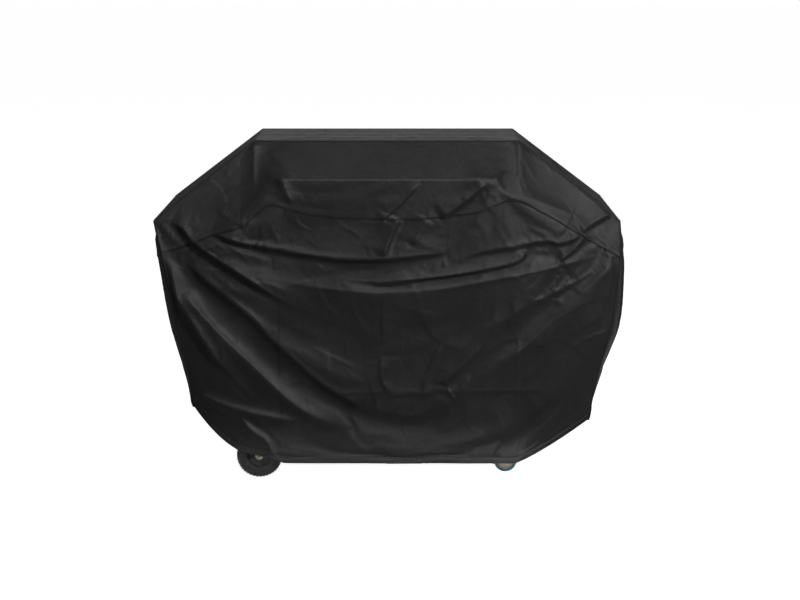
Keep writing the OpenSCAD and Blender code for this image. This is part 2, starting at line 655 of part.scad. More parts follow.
module caster_core(side) color([0.72, 0.58, 0.36]) at_caster(side) caster_wheel_turned() difference() {
    cylinder(h = caster_w - 4, d = caster_core_d, center = true, $fn = 96);
    cylinder(h = caster_w, d = caster_bolt_d + 2 * run_gap, center = true, $fn = 48);
    for (way = [-1, 1]) translate([0, 0, way * caster_w / 2]) difference() {
        cylinder(h = 8, d = caster_core_d - 4, center = true, $fn = 96);
        cylinder(h = 9, d = caster_hub_d + 2, center = true, $fn = 96);
    }
}
module front_caster_fork() caster_fork(-1);
module rear_caster_fork() caster_fork(1);
module front_caster_bolt() caster_bolt(-1);
module rear_caster_bolt() caster_bolt(1);
module front_caster_wheel() caster_tyre(-1);
module rear_caster_wheel() caster_tyre(1);
module front_caster_core() caster_core(-1);
module rear_caster_core() caster_core(1);
module knob_1() knob(0);
module knob_2() knob(1);
module knob_3() knob(2);
module knob_4() knob(3);

cover_top_panel();
cover_left_shoulder();
cover_right_shoulder();
cover_left_side();
cover_right_side();
cover_front_yoke();
cover_front_skirt();
cover_back_yoke();
cover_back_skirt();
cover_front_hem();
cover_back_hem();
cover_left_hem();
cover_right_hem();
front_yoke_seam_tape();
back_yoke_seam_tape();
left_hem_elastic();
right_hem_elastic();
hood_shell();
hood_left_cap();
hood_right_cap();
hood_handle();
handle_posts();
hood_hinges();
firebox();
left_shelf();
right_shelf();
shelf_arms();
control_panel();
gas_manifold();
gas_valves();
knob_1();
knob_2();
knob_3();
knob_4();
front_left_leg();
rear_left_leg();
front_right_leg();
rear_right_leg();
side_rails();
cross_rails();
bottom_tray();
wheel_axle();
axle_spacers();
hub_nuts();
front_wheel_tyre();
front_wheel_rim();
rear_wheel_tyre();
rear_wheel_rim();
caster_stems();
front_caster_fork();
front_caster_bolt();
front_caster_wheel();
front_caster_core();
rear_caster_fork();
rear_caster_bolt();
rear_caster_wheel();
rear_caster_core();
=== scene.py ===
"""A black fabric cover, hung over a wheeled gas grill, seen slightly from above."""
import json
import math
import bpy
import numpy as np
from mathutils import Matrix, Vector


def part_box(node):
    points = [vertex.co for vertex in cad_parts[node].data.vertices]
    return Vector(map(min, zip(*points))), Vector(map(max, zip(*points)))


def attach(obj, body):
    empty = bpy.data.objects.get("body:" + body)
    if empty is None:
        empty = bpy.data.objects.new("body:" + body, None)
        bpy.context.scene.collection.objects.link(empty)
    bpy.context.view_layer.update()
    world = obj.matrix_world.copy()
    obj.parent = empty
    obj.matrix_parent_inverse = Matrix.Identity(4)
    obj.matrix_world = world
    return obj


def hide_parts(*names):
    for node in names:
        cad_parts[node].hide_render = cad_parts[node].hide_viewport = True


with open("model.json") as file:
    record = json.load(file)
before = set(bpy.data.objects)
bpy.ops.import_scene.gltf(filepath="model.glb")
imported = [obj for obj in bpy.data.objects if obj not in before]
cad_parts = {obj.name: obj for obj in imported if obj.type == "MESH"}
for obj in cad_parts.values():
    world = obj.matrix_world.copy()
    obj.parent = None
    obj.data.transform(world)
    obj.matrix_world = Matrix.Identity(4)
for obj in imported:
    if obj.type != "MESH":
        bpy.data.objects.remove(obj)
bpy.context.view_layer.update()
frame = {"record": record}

# ---------------- camera, floor and light
CAMERA_PLACE = (0.043, -5.0, 1.74)
CAMERA_TILT = math.radians(76.56)
LENS_MM = 66.9
SENSOR_MM = 36.0
CAMERA_FAR = 60
# How brightly the white room lights the cloth from behind, from above and from all round.
ROOM_BEHIND = 1.5
ROOM_ABOVE = 0.12
ROOM_ALL_ROUND = 0.10
# The floor's size, drop below the wheels, glow, and its grey as seen and as it throws light.
FLOOR_SIZE = 80
FLOOR_DROP = 0.0005
FLOOR_GLOW = 0.965
FLOOR_SEEN = 0.95
FLOOR_BOUNCE = 0.30
# Area lights: place, point they aim at, width and height, watts, spread in degrees.
LIGHTS = {
    "overhead": ((0.3, -1.3, 3.3), (0, -0.1, 0.5), (2.2, 1.0), 27, 180),
    "key": ((2.2, -3.1, 2.6), (0.1, -0.2, 0.6), (0.9, 0.9), 84, 180),
    "fill": ((-2.6, -1.8, 2.0), (-0.2, -0.1, 0.6), (1.2, 1.2), 7, 180),
    "low": ((0.1, -2.6, 0.45), (0.0, -0.3, 0.04), (1.8, 0.10), 0.36, 9),
    "rim": ((0.0, 2.4, 2.6), (0, 0, 1.0), (2.6, 0.8), 5, 180),
}


def make_camera():
    data = bpy.data.cameras.new("camera")
    data.lens = LENS_MM
    data.sensor_width = SENSOR_MM
    data.clip_end = CAMERA_FAR
    camera = bpy.data.objects.new("camera", data)
    camera.location = CAMERA_PLACE
    camera.rotation_euler = (CAMERA_TILT, 0, 0)
    bpy.context.collection.objects.link(camera)
    bpy.context.scene.camera = camera


def area_light(name, place, aim, size, watts, spread):
    data = bpy.data.lights.new(name, "AREA")
    data.spread = math.radians(spread)
    data.shape = "RECTANGLE"
    data.size, data.size_y = size
    data.energy = watts
    light = bpy.data.objects.new(name, data)
    light.location = place
    light.rotation_euler = (Vector(aim) - Vector(place)).to_track_quat("-Z", "Y").to_euler()
    light.visible_camera = False
    bpy.context.collection.objects.link(light)


def value_node(nodes, links, operation, first, second):
    """A Math node on two sockets or numbers, and its result."""
    node = nodes.new("ShaderNodeMath")
    node.operation = operation
    for socket, value in zip(node.inputs, (first, second)):
        if isinstance(value, (int, float)):
            socket.default_value = value
        else:
            links.new(value, socket)
    return node.outputs[0]


def make_world():
    """A white backdrop. The room that lights the cloth is bright behind and above it."""
    world = bpy.data.worlds.new("studio")
    bpy.context.scene.world = world
    world.use_nodes = True
    nodes, links = world.node_tree.nodes, world.node_tree.links
    room = nodes["Background"]
    backdrop = nodes.new("ShaderNodeBackground")
    backdrop.inputs["Color"].default_value = (1, 1, 1, 1)
    direction = nodes.new("ShaderNodeSeparateXYZ")
    links.new(nodes.new("ShaderNodeTexCoord").outputs["Generated"], direction.inputs[0])
    behind = value_node(nodes, links, "MAXIMUM", direction.outputs["Y"], 0.0)
    above = value_node(nodes, links, "MAXIMUM", direction.outputs["Z"], 0.0)
    level = value_node(nodes, links, "MULTIPLY", behind, ROOM_BEHIND)
    level = value_node(nodes, links, "ADD", level, ROOM_ALL_ROUND)
    level = value_node(nodes, links, "ADD", level, value_node(nodes, links, "MULTIPLY", above, ROOM_ABOVE))
    links.new(level, room.inputs["Strength"])
    path = nodes.new("ShaderNodeLightPath")
    mix = nodes.new("ShaderNodeMixShader")
    links.new(path.outputs["Is Camera Ray"], mix.inputs[0])
    links.new(room.outputs[0], mix.inputs[1])
    links.new(backdrop.outputs[0], mix.inputs[2])
    links.new(mix.outputs[0], nodes["World Output"].inputs["Surface"])


def make_floor():
    """A pale floor that throws little light back up at the cloth."""
    material = bpy.data.materials.new("studio_floor")
    material.use_nodes = True
    nodes, links = material.node_tree.nodes, material.node_tree.links
    nodes.remove(nodes["Principled BSDF"])
    seen = nodes.new("ShaderNodeBsdfDiffuse")
    seen.inputs["Color"].default_value = (FLOOR_SEEN, FLOOR_SEEN, FLOOR_SEEN, 1)
    glow = nodes.new("ShaderNodeEmission")
    glow.inputs["Strength"].default_value = FLOOR_GLOW
    lifted = nodes.new("ShaderNodeAddShader")
    links.new(seen.outputs[0], lifted.inputs[0])
    links.new(glow.outputs[0], lifted.inputs[1])
    bounced = nodes.new("ShaderNodeBsdfDiffuse")
    bounced.inputs["Color"].default_value = (FLOOR_BOUNCE, FLOOR_BOUNCE, FLOOR_BOUNCE, 1)
    mix = nodes.new("ShaderNodeMixShader")
    links.new(nodes.new("ShaderNodeLightPath").outputs["Is Camera Ray"], mix.inputs[0])
    links.new(bounced.outputs[0], mix.inputs[1])
    links.new(lifted.outputs[0], mix.inputs[2])
    links.new(mix.outputs[0], nodes["Material Output"].inputs["Surface"])
    bpy.ops.mesh.primitive_plane_add(size=FLOOR_SIZE, location=(0, 0, -FLOOR_DROP))
    floor = bpy.context.object
    floor.name = "floor"
    floor.data.materials.append(material)


def make_stage():
    make_world()
    make_floor()
    for name, settings in LIGHTS.items():
        area_light(name, *settings)
    bpy.context.scene.view_settings.view_transform = "Standard"


make_camera()
make_stage()

# ---------------- the cover's hung shape
top_lo, top_hi = (np.array(c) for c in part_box("cover_top_panel"))
shoulder_lo, shoulder_hi = (np.array(c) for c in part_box("cover_right_shoulder"))
handle_lo, handle_hi = (np.array(c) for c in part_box("hood_handle"))

# How far the cloth's middle lies outside the handle, and the shelf's edge above its panel's box.
OVER_HANDLE = 0.006
EDGE_ABOVE = 0.003
HOOD_X = top_hi[0]
END_X, END_Y, TOP_Z = shoulder_hi
END_Z = shoulder_lo[2] + EDGE_ABOVE
HEM_Y, HEM_Z = np.array(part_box("cover_front_hem")[0])[1:]
END_HEM_Z = np.array(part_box("cover_right_hem")[0])[2]
HEM_BAND = 0.022
RIDGE_X = handle_hi[0] + OVER_HANDLE
RIDGE_Y = handle_lo[1] - OVER_HANDLE
RIDGE_Z = handle_hi[2] + OVER_HANDLE

# Row k of the front and back runs from side to side: 0 top edge, 1 over the handle, 2 yoke seam,
# 6 top of the hem band, 7 hem. The two edges are the seams between the front and the ends, as
# x, depth and height; the left end hangs a little further in than the right one.
RIGHT_EDGE = np.array([
    (END_X, END_Y, END_Z),
    (END_X + 0.004, 0.258, 0.820),
    (END_X + 0.004, 0.268, 0.760),
    (END_X, 0.275, 0.680),
    (0.740, 0.270, 0.520),
    (0.705, 0.250, 0.380),
    (0.680, 0.215, END_HEM_Z + HEM_BAND),
    (0.675, 0.213, END_HEM_Z),
])
LEFT_IN = np.array([0, 0.014, 0.026, 0.040, 0.052, 0.040, 0.026, 0.026])
LEFT_EDGE = RIGHT_EDGE * (-1, 1, 1) + np.outer(LEFT_IN, (1, 0, 0))
# The hem rides up a little over the front wheel's hub, as x and height.
HEM_LIFT = np.array([
    (-0.56, 0), (-0.50, 0.003), (-0.47, 0.009), (-0.44, 0.016),
    (-0.39, 0.017), (-0.365, 0.008), (-0.345, 0.001), (-0.32, 0),
])
# How much lower than the left edge the front's right edge hangs, row by row.
FRONT_RIGHT_DROP = np.array([0, 0, 0, 0, 0, 0.015, 0.046, 0.046])
# Each row's depth and height in the middle of the front and of the back.
FRONT = np.array([
    (top_lo[1], TOP_Z),
    (RIDGE_Y, RIDGE_Z),
    (-0.292, 0.883),
    (-0.296, 0.720),
    (-0.302, 0.520),
    (-0.307, 0.290),
    (HEM_Y + 0.001, HEM_Z + HEM_BAND),
    (HEM_Y, HEM_Z),
])
BACK = np.array([
    (top_hi[1], TOP_Z),
    (0.215, 1.003),
    (0.262, 0.885),
    (0.275, 0.720),
    (0.288, 0.520),
    (0.300, 0.290),
    (-HEM_Y - 0.001, HEM_Z + HEM_BAND),
    (-HEM_Y, HEM_Z),
])
# The yoke seam's height along the front, from the left end to the right end.
SEAM = np.array([
    (-0.77, 0.755), (-0.64, 0.795), (-0.55, 0.832), (-0.465, 0.853), (-0.435, 0.880),
    (-0.385, 0.925), (-0.330, 0.918), (-0.235, 0.894), (-0.10, 0.884), (0.08, 0.882),
    (0.20, 0.890), (0.30, 0.905), (0.365, 0.932), (0.41, 0.943), (0.49, 0.908),
    (0.63, 0.825), (0.77, 0.745),
])
# How far each end panel swells out between its two edges, row by row, and how squarely.
END_SWELL = np.array([0, 0.014, 0.030, 0.045, 0.052, 0.042, 0.022, 0.018])
END_SWELL_POWER = 0.7
# From which share of the half width a row bends round to its edge, and how late.
UPPER_BEND = 0.58
LOWER_BEND = 0.56
LOWER_BEND_POWER = 2.1
RIGHT_HEM_BEND = 0.62
RIGHT_HEM_BEND_POWER = 1.2
HANDLE_ROW_BEND = 0.8
# How far inside the hood's end the handle row has come down to its neighbours.
RIDGE_END = 0.01
# How straight the cloth is pulled between the rows over the hood, and beside it.
TAUT = 0.95
TAUT_BESIDE = 0.3

# Cells between neighbouring rows, in half the width and in the depth: coarse to hang, fine to show.
COARSE = {"rows": (12, 9, 13, 17, 19, 17, 2), "half": 66, "depth": 44}
FINE = {"rows": (32, 26, 38, 50, 56, 48, 6), "half": 190, "depth": 120}


def smooth(t):
    """From 0 to 1 with level ends."""
    t = np.clip(t, 0, 1)
    return t * t * (3 - 2 * t)


def spline(points, t):
    """A smooth curve through evenly numbered points, at the numbers t."""
    points = np.asarray(points, float)
    padded = np.concatenate([2 * points[:1] - points[1:2], points, 2 * points[-1:] - points[-2:-1]])
    t = np.clip(np.asarray(t, float), 0, len(points) - 1)
    i = np.minimum(t.astype(int), len(points) - 2)
    u = (t - i).reshape(t.shape + (1,) * (points.ndim - 1))
    a, b, c, d = padded[i], padded[i + 1], padded[i + 2], padded[i + 3]
    return b + 0.5 * u * (c - a + u * (2 * a - 5 * b + 4 * c - d + u * (3 * (b - c) + d - a)))


def seam_height(x):
    return spline(SEAM[:, 1], np.interp(x, SEAM[:, 0], np.arange(len(SEAM))))


def row_numbers(counts):
    """The row number of every line of cells, for so many cells between neighbouring rows."""
    steps = [np.linspace(k, k + 1, n, endpoint=False) for k, n in enumerate(counts)]
    return np.concatenate(steps + [[len(counts)]])


def whole_row(side, share, k):
    """Row k of the front (side -1) or the back (side 1), at the shares of the half width."""
    middle = (FRONT if side < 0 else BACK)[k]
    a = np.abs(share)
    right_edge = RIGHT_EDGE[k] - (0, 0, FRONT_RIGHT_DROP[k] if side < 0 else 0)
    edge = np.where(share[:, None] < 0, LEFT_EDGE[k], right_edge)
    half = np.interp(share, (-1, 1), (LEFT_EDGE[k, 0], RIGHT_EDGE[k, 0]))
    x = half if k > 0 else share * END_X
    top_share = HOOD_X / END_X
    if k == 0:
        w = np.clip((a - top_share) / (1 - top_share), 0, 1)
    elif k < 3:
        w = smooth((a - UPPER_BEND) / (1 - UPPER_BEND))
    else:
        w = np.clip((a - LOWER_BEND) / (1 - LOWER_BEND), 0, 1) ** LOWER_BEND_POWER
        if k > 5 and side < 0:
            right = np.clip((a - RIGHT_HEM_BEND) / (1 - RIGHT_HEM_BEND), 0, 1) ** RIGHT_HEM_BEND_POWER
            w = np.where(share > 0, right, w)
    y = middle[0] * (1 - w) + side * edge[:, 1] * w
    z = middle[1] * (1 - w) + edge[:, 2] * w
    if k == 2 and side < 0:
        z = seam_height(x)
    if k > 5 and side < 0:
        z = z + np.interp(x, HEM_LIFT[:, 0], HEM_LIFT[:, 1])
    if k == 1:
        mean = (whole_row(side, share, 0) + whole_row(side, share, 2)) / 2
        at_end = smooth((a - HANDLE_ROW_BEND) / (1 - HANDLE_ROW_BEND))
        y_mean = mean[:, 1] * (1 - at_end) + side * edge[:, 1] * at_end
        z_mean = mean[:, 2] * (1 - at_end) + edge[:, 2] * at_end
        ridge = smooth((HOOD_X - RIDGE_END - np.abs(x)) / (HOOD_X - RIDGE_END - RIDGE_X))
        y = y_mean * (1 - ridge) + middle[0] * ridge
        z = z_mean * (1 - ridge) + middle[1] * ridge
    return np.stack([x, y, z], axis=1)


def face_grid(side, share, k):
    """The whole front or back, as rows from the top edge to the hem."""
    rows = np.array([whole_row(side, share, n) for n in range(len(FRONT))])
    curved = spline(rows, k)
    lower = np.minimum(k.astype(int), len(rows) - 2)
    part = (k - lower)[:, None, None]
    straight = rows[lower] * (1 - part) + rows[lower + 1] * part
    ridge = smooth((HOOD_X - np.abs(rows[1, :, 0])) / (HOOD_X - RIDGE_X))
    taut = np.where(k <= 1, TAUT, TAUT * smooth((2 - k) / 0.7))[:, None]
    taut = taut * (TAUT_BESIDE + (1 - TAUT_BESIDE) * ridge)
    return curved * (1 - taut[..., None]) + straight * taut[..., None]


def end_grid(way, front_edge, back_edge, k, cells):
    """One end panel, as rows from the shoulder down and columns from the front to the back."""
    v = np.linspace(0, 1, cells + 1)[None, :, None]
    grid = front_edge[:, None, :] * (1 - v) + back_edge[:, None, :] * v
    bow = (4 * v[..., 0] * (1 - v[..., 0])) ** END_SWELL_POWER
    grid[..., 0] += way * spline(END_SWELL, k)[:, None] * bow
    return grid


def roof_grid(front_edge, back_edge, cells):
    v = np.linspace(0, 1, cells + 1)[:, None, None]
    return front_edge[None] * (1 - v) + back_edge[None] * v


# ---------------- folds
# A fold is a line of points (x, z) on the front, its height, how far it fades out on the side
# to the left of its direction, how sharply it drops on the other side, and how it tapers at
# its two ends.
FRONT_FOLDS = [
    # under the yoke seam: swags from shelf to shelf
    ([(-0.56, 0.838), (-0.44, 0.806), (-0.33, 0.783), (-0.22, 0.764), (-0.12, 0.755),
      (0.0, 0.757), (0.14, 0.768), (0.22, 0.778)], 0.03, 0.07, 0.009, 0.1, 0.35),
    ([(-0.7, 0.868), (-0.665, 0.846), (-0.617, 0.803), (-0.55, 0.763), (-0.484, 0.72),
      (-0.433, 0.686), (-0.37, 0.642), (-0.3, 0.6)], 0.028, 0.048, 0.011, 0.22, 0.35),
    ([(-0.42, 0.7), (-0.25, 0.668), (-0.087, 0.652), (0.043, 0.652), (0.173, 0.66),
      (0.302, 0.682), (0.463, 0.712), (0.6, 0.742), (0.69, 0.76)], 0.03, 0.026, 0.08, 0.3, 0.25),
    ([(-0.2, 0.69), (-0.022, 0.684), (0.085, 0.691), (0.247, 0.711), (0.408, 0.744),
      (0.455, 0.78)], 0.024, 0.034, 0.008, 0.4, 0.12),
    ([(0.2, 0.74), (0.3, 0.775), (0.407, 0.795), (0.516, 0.813), (0.558, 0.806),
      (0.625, 0.826)], 0.013, 0.04, 0.008, 0.4, 0.1),
    ([(0.55, 0.743), (0.6, 0.78), (0.64, 0.82)], 0.012, 0.025, 0.008, 0.3, 0.1),
    ([(0.625, 0.838), (0.663, 0.857), (0.735, 0.895)], 0.014, 0.03, 0.009, 0.15, 0.15),
    # from the left shelf corner down to the middle
    ([(-0.66, 0.745), (-0.578, 0.68), (-0.443, 0.572), (-0.38, 0.5), (-0.3, 0.425),
      (-0.22, 0.353), (-0.12, 0.288), (-0.07, 0.255)], 0.025, 0.1, 0.026, 0.15, 0.15),
    ([(-0.67, 0.64), (-0.63, 0.6), (-0.529, 0.487), (-0.45, 0.41), (-0.355, 0.315),
      (-0.262, 0.24), (-0.149, 0.184)], 0.022, 0.034, 0.036, 0.2, 0.2),
    ([(-0.745, 0.72), (-0.654, 0.573), (-0.598, 0.482), (-0.548, 0.408), (-0.49, 0.34)],
     0.026, 0.04, 0.014, 0.08, 0.4),
    ([(-0.29, 0.206), (-0.43, 0.232), (-0.54, 0.26), (-0.63, 0.295)], 0.013, 0.03, 0.014, 0.2, 0.15),
    ([(-0.375, 0.09), (-0.4, 0.14), (-0.445, 0.173), (-0.5, 0.228)], 0.013, 0.026, 0.01, 0.05, 0.3),
    # from the right shelf corner
    ([(0.245, 0.47), (0.3, 0.515), (0.39, 0.565), (0.46, 0.607), (0.59, 0.665),
      (0.735, 0.75)], 0.011, 0.05, 0.028, 0.35, 0.1),
    ([(0.745, 0.735), (0.659, 0.66), (0.564, 0.577), (0.452, 0.465), (0.371, 0.414),
      (0.225, 0.284)], 0.014, 0.07, 0.024, 0.1, 0.4),
    # crumples low in the middle
    ([(-0.016, 0.445), (-0.02, 0.363), (0.01, 0.305)], 0.005, 0.02, 0.006, 0.3, 0.2),
    ([(0.0, 0.3), (0.076, 0.308), (0.168, 0.306)], 0.005, 0.018, 0.007, 0.2, 0.3),
    ([(0.118, 0.315), (0.15, 0.408), (0.182, 0.485)], 0.006, 0.02, 0.008, 0.2, 0.3),
    ([(0.19, 0.335), (0.201, 0.36), (0.26, 0.414), (0.337, 0.5)], 0.008, 0.02, 0.01, 0.2, 0.3),
    ([(0.195, 0.33), (0.225, 0.296), (0.273, 0.373)], 0.005, 0.016, 0.006, 0.2, 0.3),
    ([(-0.09, 0.262), (-0.007, 0.25), (0.076, 0.232), (0.103, 0.24), (0.2, 0.275)],
     0.01, 0.06, 0.022, 0.2, 0.3),
    ([(0.04, 0.09), (0.126, 0.1), (0.205, 0.107)], 0.004, 0.014, 0.005, 0.3, 0.2),
    ([(0.345, 0.075), (0.375, 0.145)], 0.005, 0.016, 0.006, 0.2, 0.4),
    # packing creases, straight up and down and across
    ([(-0.345, 0.64), (-0.35, 0.42), (-0.342, 0.11)], 0.0018, 0.022, 0.007, 0.3, 0.3),
    ([(-0.013, 0.64), (-0.015, 0.48)], 0.003, 0.02, 0.004, 0.3, 0.3),
    ([(0.43, 0.64), (0.434, 0.38), (0.428, 0.12)], 0.003, 0.004, 0.022, 0.2, 0.2),
    ([(-0.2, 0.312), (0.15, 0.316), (0.52, 0.31)], 0.002, 0.022, 0.006, 0.3, 0.3),
    # from the hood's corners down, and off the two ends of the handle's ridge
    ([(-0.432, 1.11), (-0.428, 1.04), (-0.425, 0.96)], 0.01, 0.02, 0.022, 0.02, 0.35),
    ([(0.432, 1.11), (0.43, 1.04), (0.428, 0.97)], 0.01, 0.022, 0.02, 0.02, 0.35),
    ([(-0.335, 1.008), (-0.318, 0.965), (-0.3, 0.93)], 0.008, 0.02, 0.012, 0.02, 0.35),
    ([(0.35, 1.008), (0.375, 0.97), (0.42, 0.945)], 0.007, 0.016, 0.014, 0.02, 0.35),
    # over and beside the handle
    ([(-0.02, 0.88), (0.04, 0.93), (0.11, 1.003)], 0.01, 0.022, 0.006, 0.15, 0.25),
    ([(0.17, 0.888), (0.25, 0.942), (0.32, 1.0)], 0.015, 0.028, 0.009, 0.15, 0.15),
    ([(-0.012, 0.762), (0.02, 0.845), (0.04, 0.885)], 0.013, 0.03, 0.01, 0.15, 0.15),
    ([(0.083, 0.795), (0.105, 0.84), (0.135, 0.885)], 0.008, 0.025, 0.018, 0.25, 0.15),
    ([(-0.39, 1.085), (-0.29, 1.02)], 0.004, 0.025, 0.01, 0.3, 0.3),
    ([(0.4, 0.955), (0.47, 0.945), (0.545, 0.915), (0.62, 0.88)], 0.004, 0.02, 0.012, 0.2, 0.3),
    ([(-0.56, 0.91), (-0.505, 0.878), (-0.45, 0.862)], 0.007, 0.03, 0.01, 0.3, 0.1),
]
FRONT_FOLD_SCALE = 0.95
FRONT_FOLDS = [(line, FRONT_FOLD_SCALE * height, *rest) for line, height, *rest in FRONT_FOLDS]
# The places of these are x and z on the back, y and z on the ends, and x and y on the roof.
BACK_FOLDS = [
    ([(-0.7, 0.86), (-0.45, 0.76), (-0.1, 0.715), (0.25, 0.74), (0.5, 0.8)],
     0.012, 0.04, 0.02, 0.2, 0.3),
    ([(0.72, 0.85), (0.5, 0.7), (0.2, 0.61), (-0.1, 0.59), (-0.35, 0.64)],
     0.013, 0.02, 0.05, 0.2, 0.3),
    ([(-0.72, 0.76), (-0.56, 0.56), (-0.35, 0.38), (-0.1, 0.27)], 0.014, 0.05, 0.022, 0.15, 0.2),
    ([(0.72, 0.76), (0.6, 0.56), (0.42, 0.36), (0.2, 0.22)], 0.014, 0.022, 0.05, 0.15, 0.2),
    ([(0.05, 0.52), (0.12, 0.36), (0.1, 0.18)], 0.006, 0.022, 0.018, 0.3, 0.4),
    ([(-0.2, 0.47), (-0.22, 0.33), (-0.16, 0.17)], 0.006, 0.024, 0.014, 0.3, 0.4),
]
RIGHT_FOLDS = [
    ([(-0.2, 0.84), (-0.13, 0.64), (-0.1, 0.43), (-0.12, 0.25)], 0.01, 0.03, 0.02, 0.1, 0.3),
    ([(0.2, 0.84), (0.1, 0.62), (0.07, 0.42), (0.1, 0.23)], 0.01, 0.02, 0.03, 0.1, 0.3),
    ([(-0.02, 0.76), (0.01, 0.52), (-0.02, 0.28)], 0.006, 0.024, 0.018, 0.3, 0.3),
]
LEFT_FOLDS = [
    ([(-0.21, 0.83), (-0.1, 0.66), (-0.08, 0.44), (-0.14, 0.25)], 0.011, 0.026, 0.018, 0.1, 0.3),
    ([(0.19, 0.84), (0.13, 0.6), (0.12, 0.4), (0.09, 0.23)], 0.009, 0.02, 0.03, 0.1, 0.3),
    ([(0.03, 0.72), (0.0, 0.5), (0.04, 0.28)], 0.006, 0.022, 0.018, 0.3, 0.3),
]
ROOF_FOLDS = [
    ([(-0.4, -0.118), (-0.1, -0.112), (0.2, -0.12), (0.41, -0.11)], 0.0022, 0.016, 0.006, 0.1, 0.1),
    ([(-0.38, -0.07), (0.0, -0.08), (0.39, -0.066)], 0.0026, 0.02, 0.008, 0.15, 0.15),
    ([(-0.4, 0.01), (-0.05, 0.0), (0.4, 0.014)], 0.0028, 0.024, 0.009, 0.1, 0.1),
    ([(-0.4, 0.095), (0.05, 0.104), (0.4, 0.09)], 0.0024, 0.022, 0.008, 0.15, 0.1),
    ([(0.44, 0.05), (0.57, 0.01), (0.72, 0.03)], 0.005, 0.03, 0.012, 0.2, 0.2),
    ([(0.46, -0.08), (0.6, -0.11), (0.74, -0.19)], 0.0045, 0.026, 0.012, 0.2, 0.1),
    ([(-0.45, 0.04), (-0.6, 0.0), (-0.73, 0.06)], 0.005, 0.03, 0.012, 0.2, 0.2),
    ([(-0.46, -0.09), (-0.6, -0.12), (-0.74, -0.195)], 0.0045, 0.026, 0.012, 0.2, 0.1),
]
# Points along a fold's line, and the profile of its gentle side, steep side and end.
FOLD_SAMPLES = 90
GENTLE_POWER = 1.15
STEEP_POWER = 1.4
DIP = 0.2
DIP_WIDTH = 2.2
END_FADE = 0.6
REACH_SOFT = 4.5
REACH_SHARP = 5.8
# The stray creases' lengths, bends, heights, widths on both sides, and tapers.
CREASE_LENGTH = (0.05, 0.20)
CREASE_BEND = (-0.3, 0.3)
CREASE_HEIGHT = (0.0008, 0.0024)
CREASE_SOFT = (0.012, 0.034)
CREASE_SHARP = (0.004, 0.012)
CREASE_TAPER = 0.35
# A point inside the cover, and how close to a panel's edge the folds have died out.
COVER_MIDDLE = (0, 0, 0.5)
EDGE_FADE = 0.015


def normals_of(grid):
    """Unit normals of a grid, all on the same one of its two sides."""
    along_rows = np.gradient(grid, axis=1)
    down = np.gradient(grid, axis=0)
    normal = np.cross(down, along_rows)
    return normal / np.maximum(np.linalg.norm(normal, axis=2, keepdims=True), 1e-9)


def fold_height(x, z, fold):
    """How far a fold lifts the cloth: a crease along its line, gentle on one side, steep on the other."""
    points, height, soft, sharp, fade_in, fade_out = fold
    line = spline(np.array(points), np.linspace(0, len(points) - 1, FOLD_SAMPLES))
    spot = np.stack([x.ravel(), z.ravel()], axis=1)
    reach = max(REACH_SOFT * soft, REACH_SHARP * sharp)
    near = np.all((spot > line.min(0) - reach) & (spot < line.max(0) + reach), axis=1)
    gap = spot[near][:, None, :] - line[None]
    nearest = np.argmin((gap ** 2).sum(2), axis=1)
    offset = gap[np.arange(len(nearest)), nearest]
    step_along = np.gradient(line, axis=0)
    step = np.linalg.norm(step_along, axis=1)
    along = (step_along / step[:, None])[nearest]
    side = along[:, 0] * offset[:, 1] - along[:, 1] * offset[:, 0]
    beyond = along[:, 0] * offset[:, 0] + along[:, 1] * offset[:, 1]
    t = (nearest + np.clip(beyond / step[nearest], -0.5, 0.5)) / (FOLD_SAMPLES - 1)
    past_end = np.where(nearest == 0, np.maximum(-beyond, 0), 0)
    past_end += np.where(nearest == FOLD_SAMPLES - 1, np.maximum(beyond, 0), 0)
    taper = smooth((t + 0.02) / fade_in) * smooth((1.02 - t) / fade_out)
    taper *= np.exp(-(past_end / (END_FADE * soft)) ** 2)
    far = np.abs(side)
    gentle = np.exp(-(far / soft) ** GENTLE_POWER)
    dip = DIP * np.exp(-(far / (DIP_WIDTH * sharp)) ** 2)
    steep = (1 + DIP) * np.exp(-(far / sharp) ** STEEP_POWER) - dip
    result = np.zeros(len(spot))
    result[near] = height * taper * np.where(side > 0, gentle, steep)
    return result.reshape(x.shape)


def stray_creases(count, seed, lo, hi):
    """Small creases in all directions, as packed cloth keeps them, in the box lo to hi."""
    chance = np.random.default_rng(seed)
    creases = []
    for _ in range(count):
        middle = chance.uniform(lo, hi)
        length = chance.uniform(*CREASE_LENGTH)
        turn = chance.uniform(0, 2 * math.pi)
        way = np.array([math.cos(turn), math.sin(turn)]) * length / 2
        bend = np.array([-way[1], way[0]]) * chance.uniform(*CREASE_BEND)
        points = [tuple(middle - way), tuple(middle + bend), tuple(middle + way)]
        creases.append((points, chance.uniform(*CREASE_HEIGHT), chance.uniform(*CREASE_SOFT),
                        chance.uniform(*CREASE_SHARP), CREASE_TAPER, CREASE_TAPER))
    return creases


def outward_normals(grid):
    """Unit normals of a grid that point away from the inside of the cover."""
    normal = normals_of(grid)
    facing = (normal * (grid - COVER_MIDDLE)).sum()
    return normal if facing > 0 else -normal


def raised(grid, folds, across, up=2):
    """The grid with its folds, which are placed by two of its coordinates."""
    rise = sum(fold_height(grid[..., across], grid[..., up], fold) for fold in folds)
    columns = np.linspace(0, 1, grid.shape[1])
    inside = smooth(np.minimum(columns, 1 - columns) / EDGE_FADE)[None, :]
    inside = inside * smooth(np.linspace(0, 40, grid.shape[0]))[:, None]
    return grid + outward_normals(grid) * (rise * inside)[..., None]


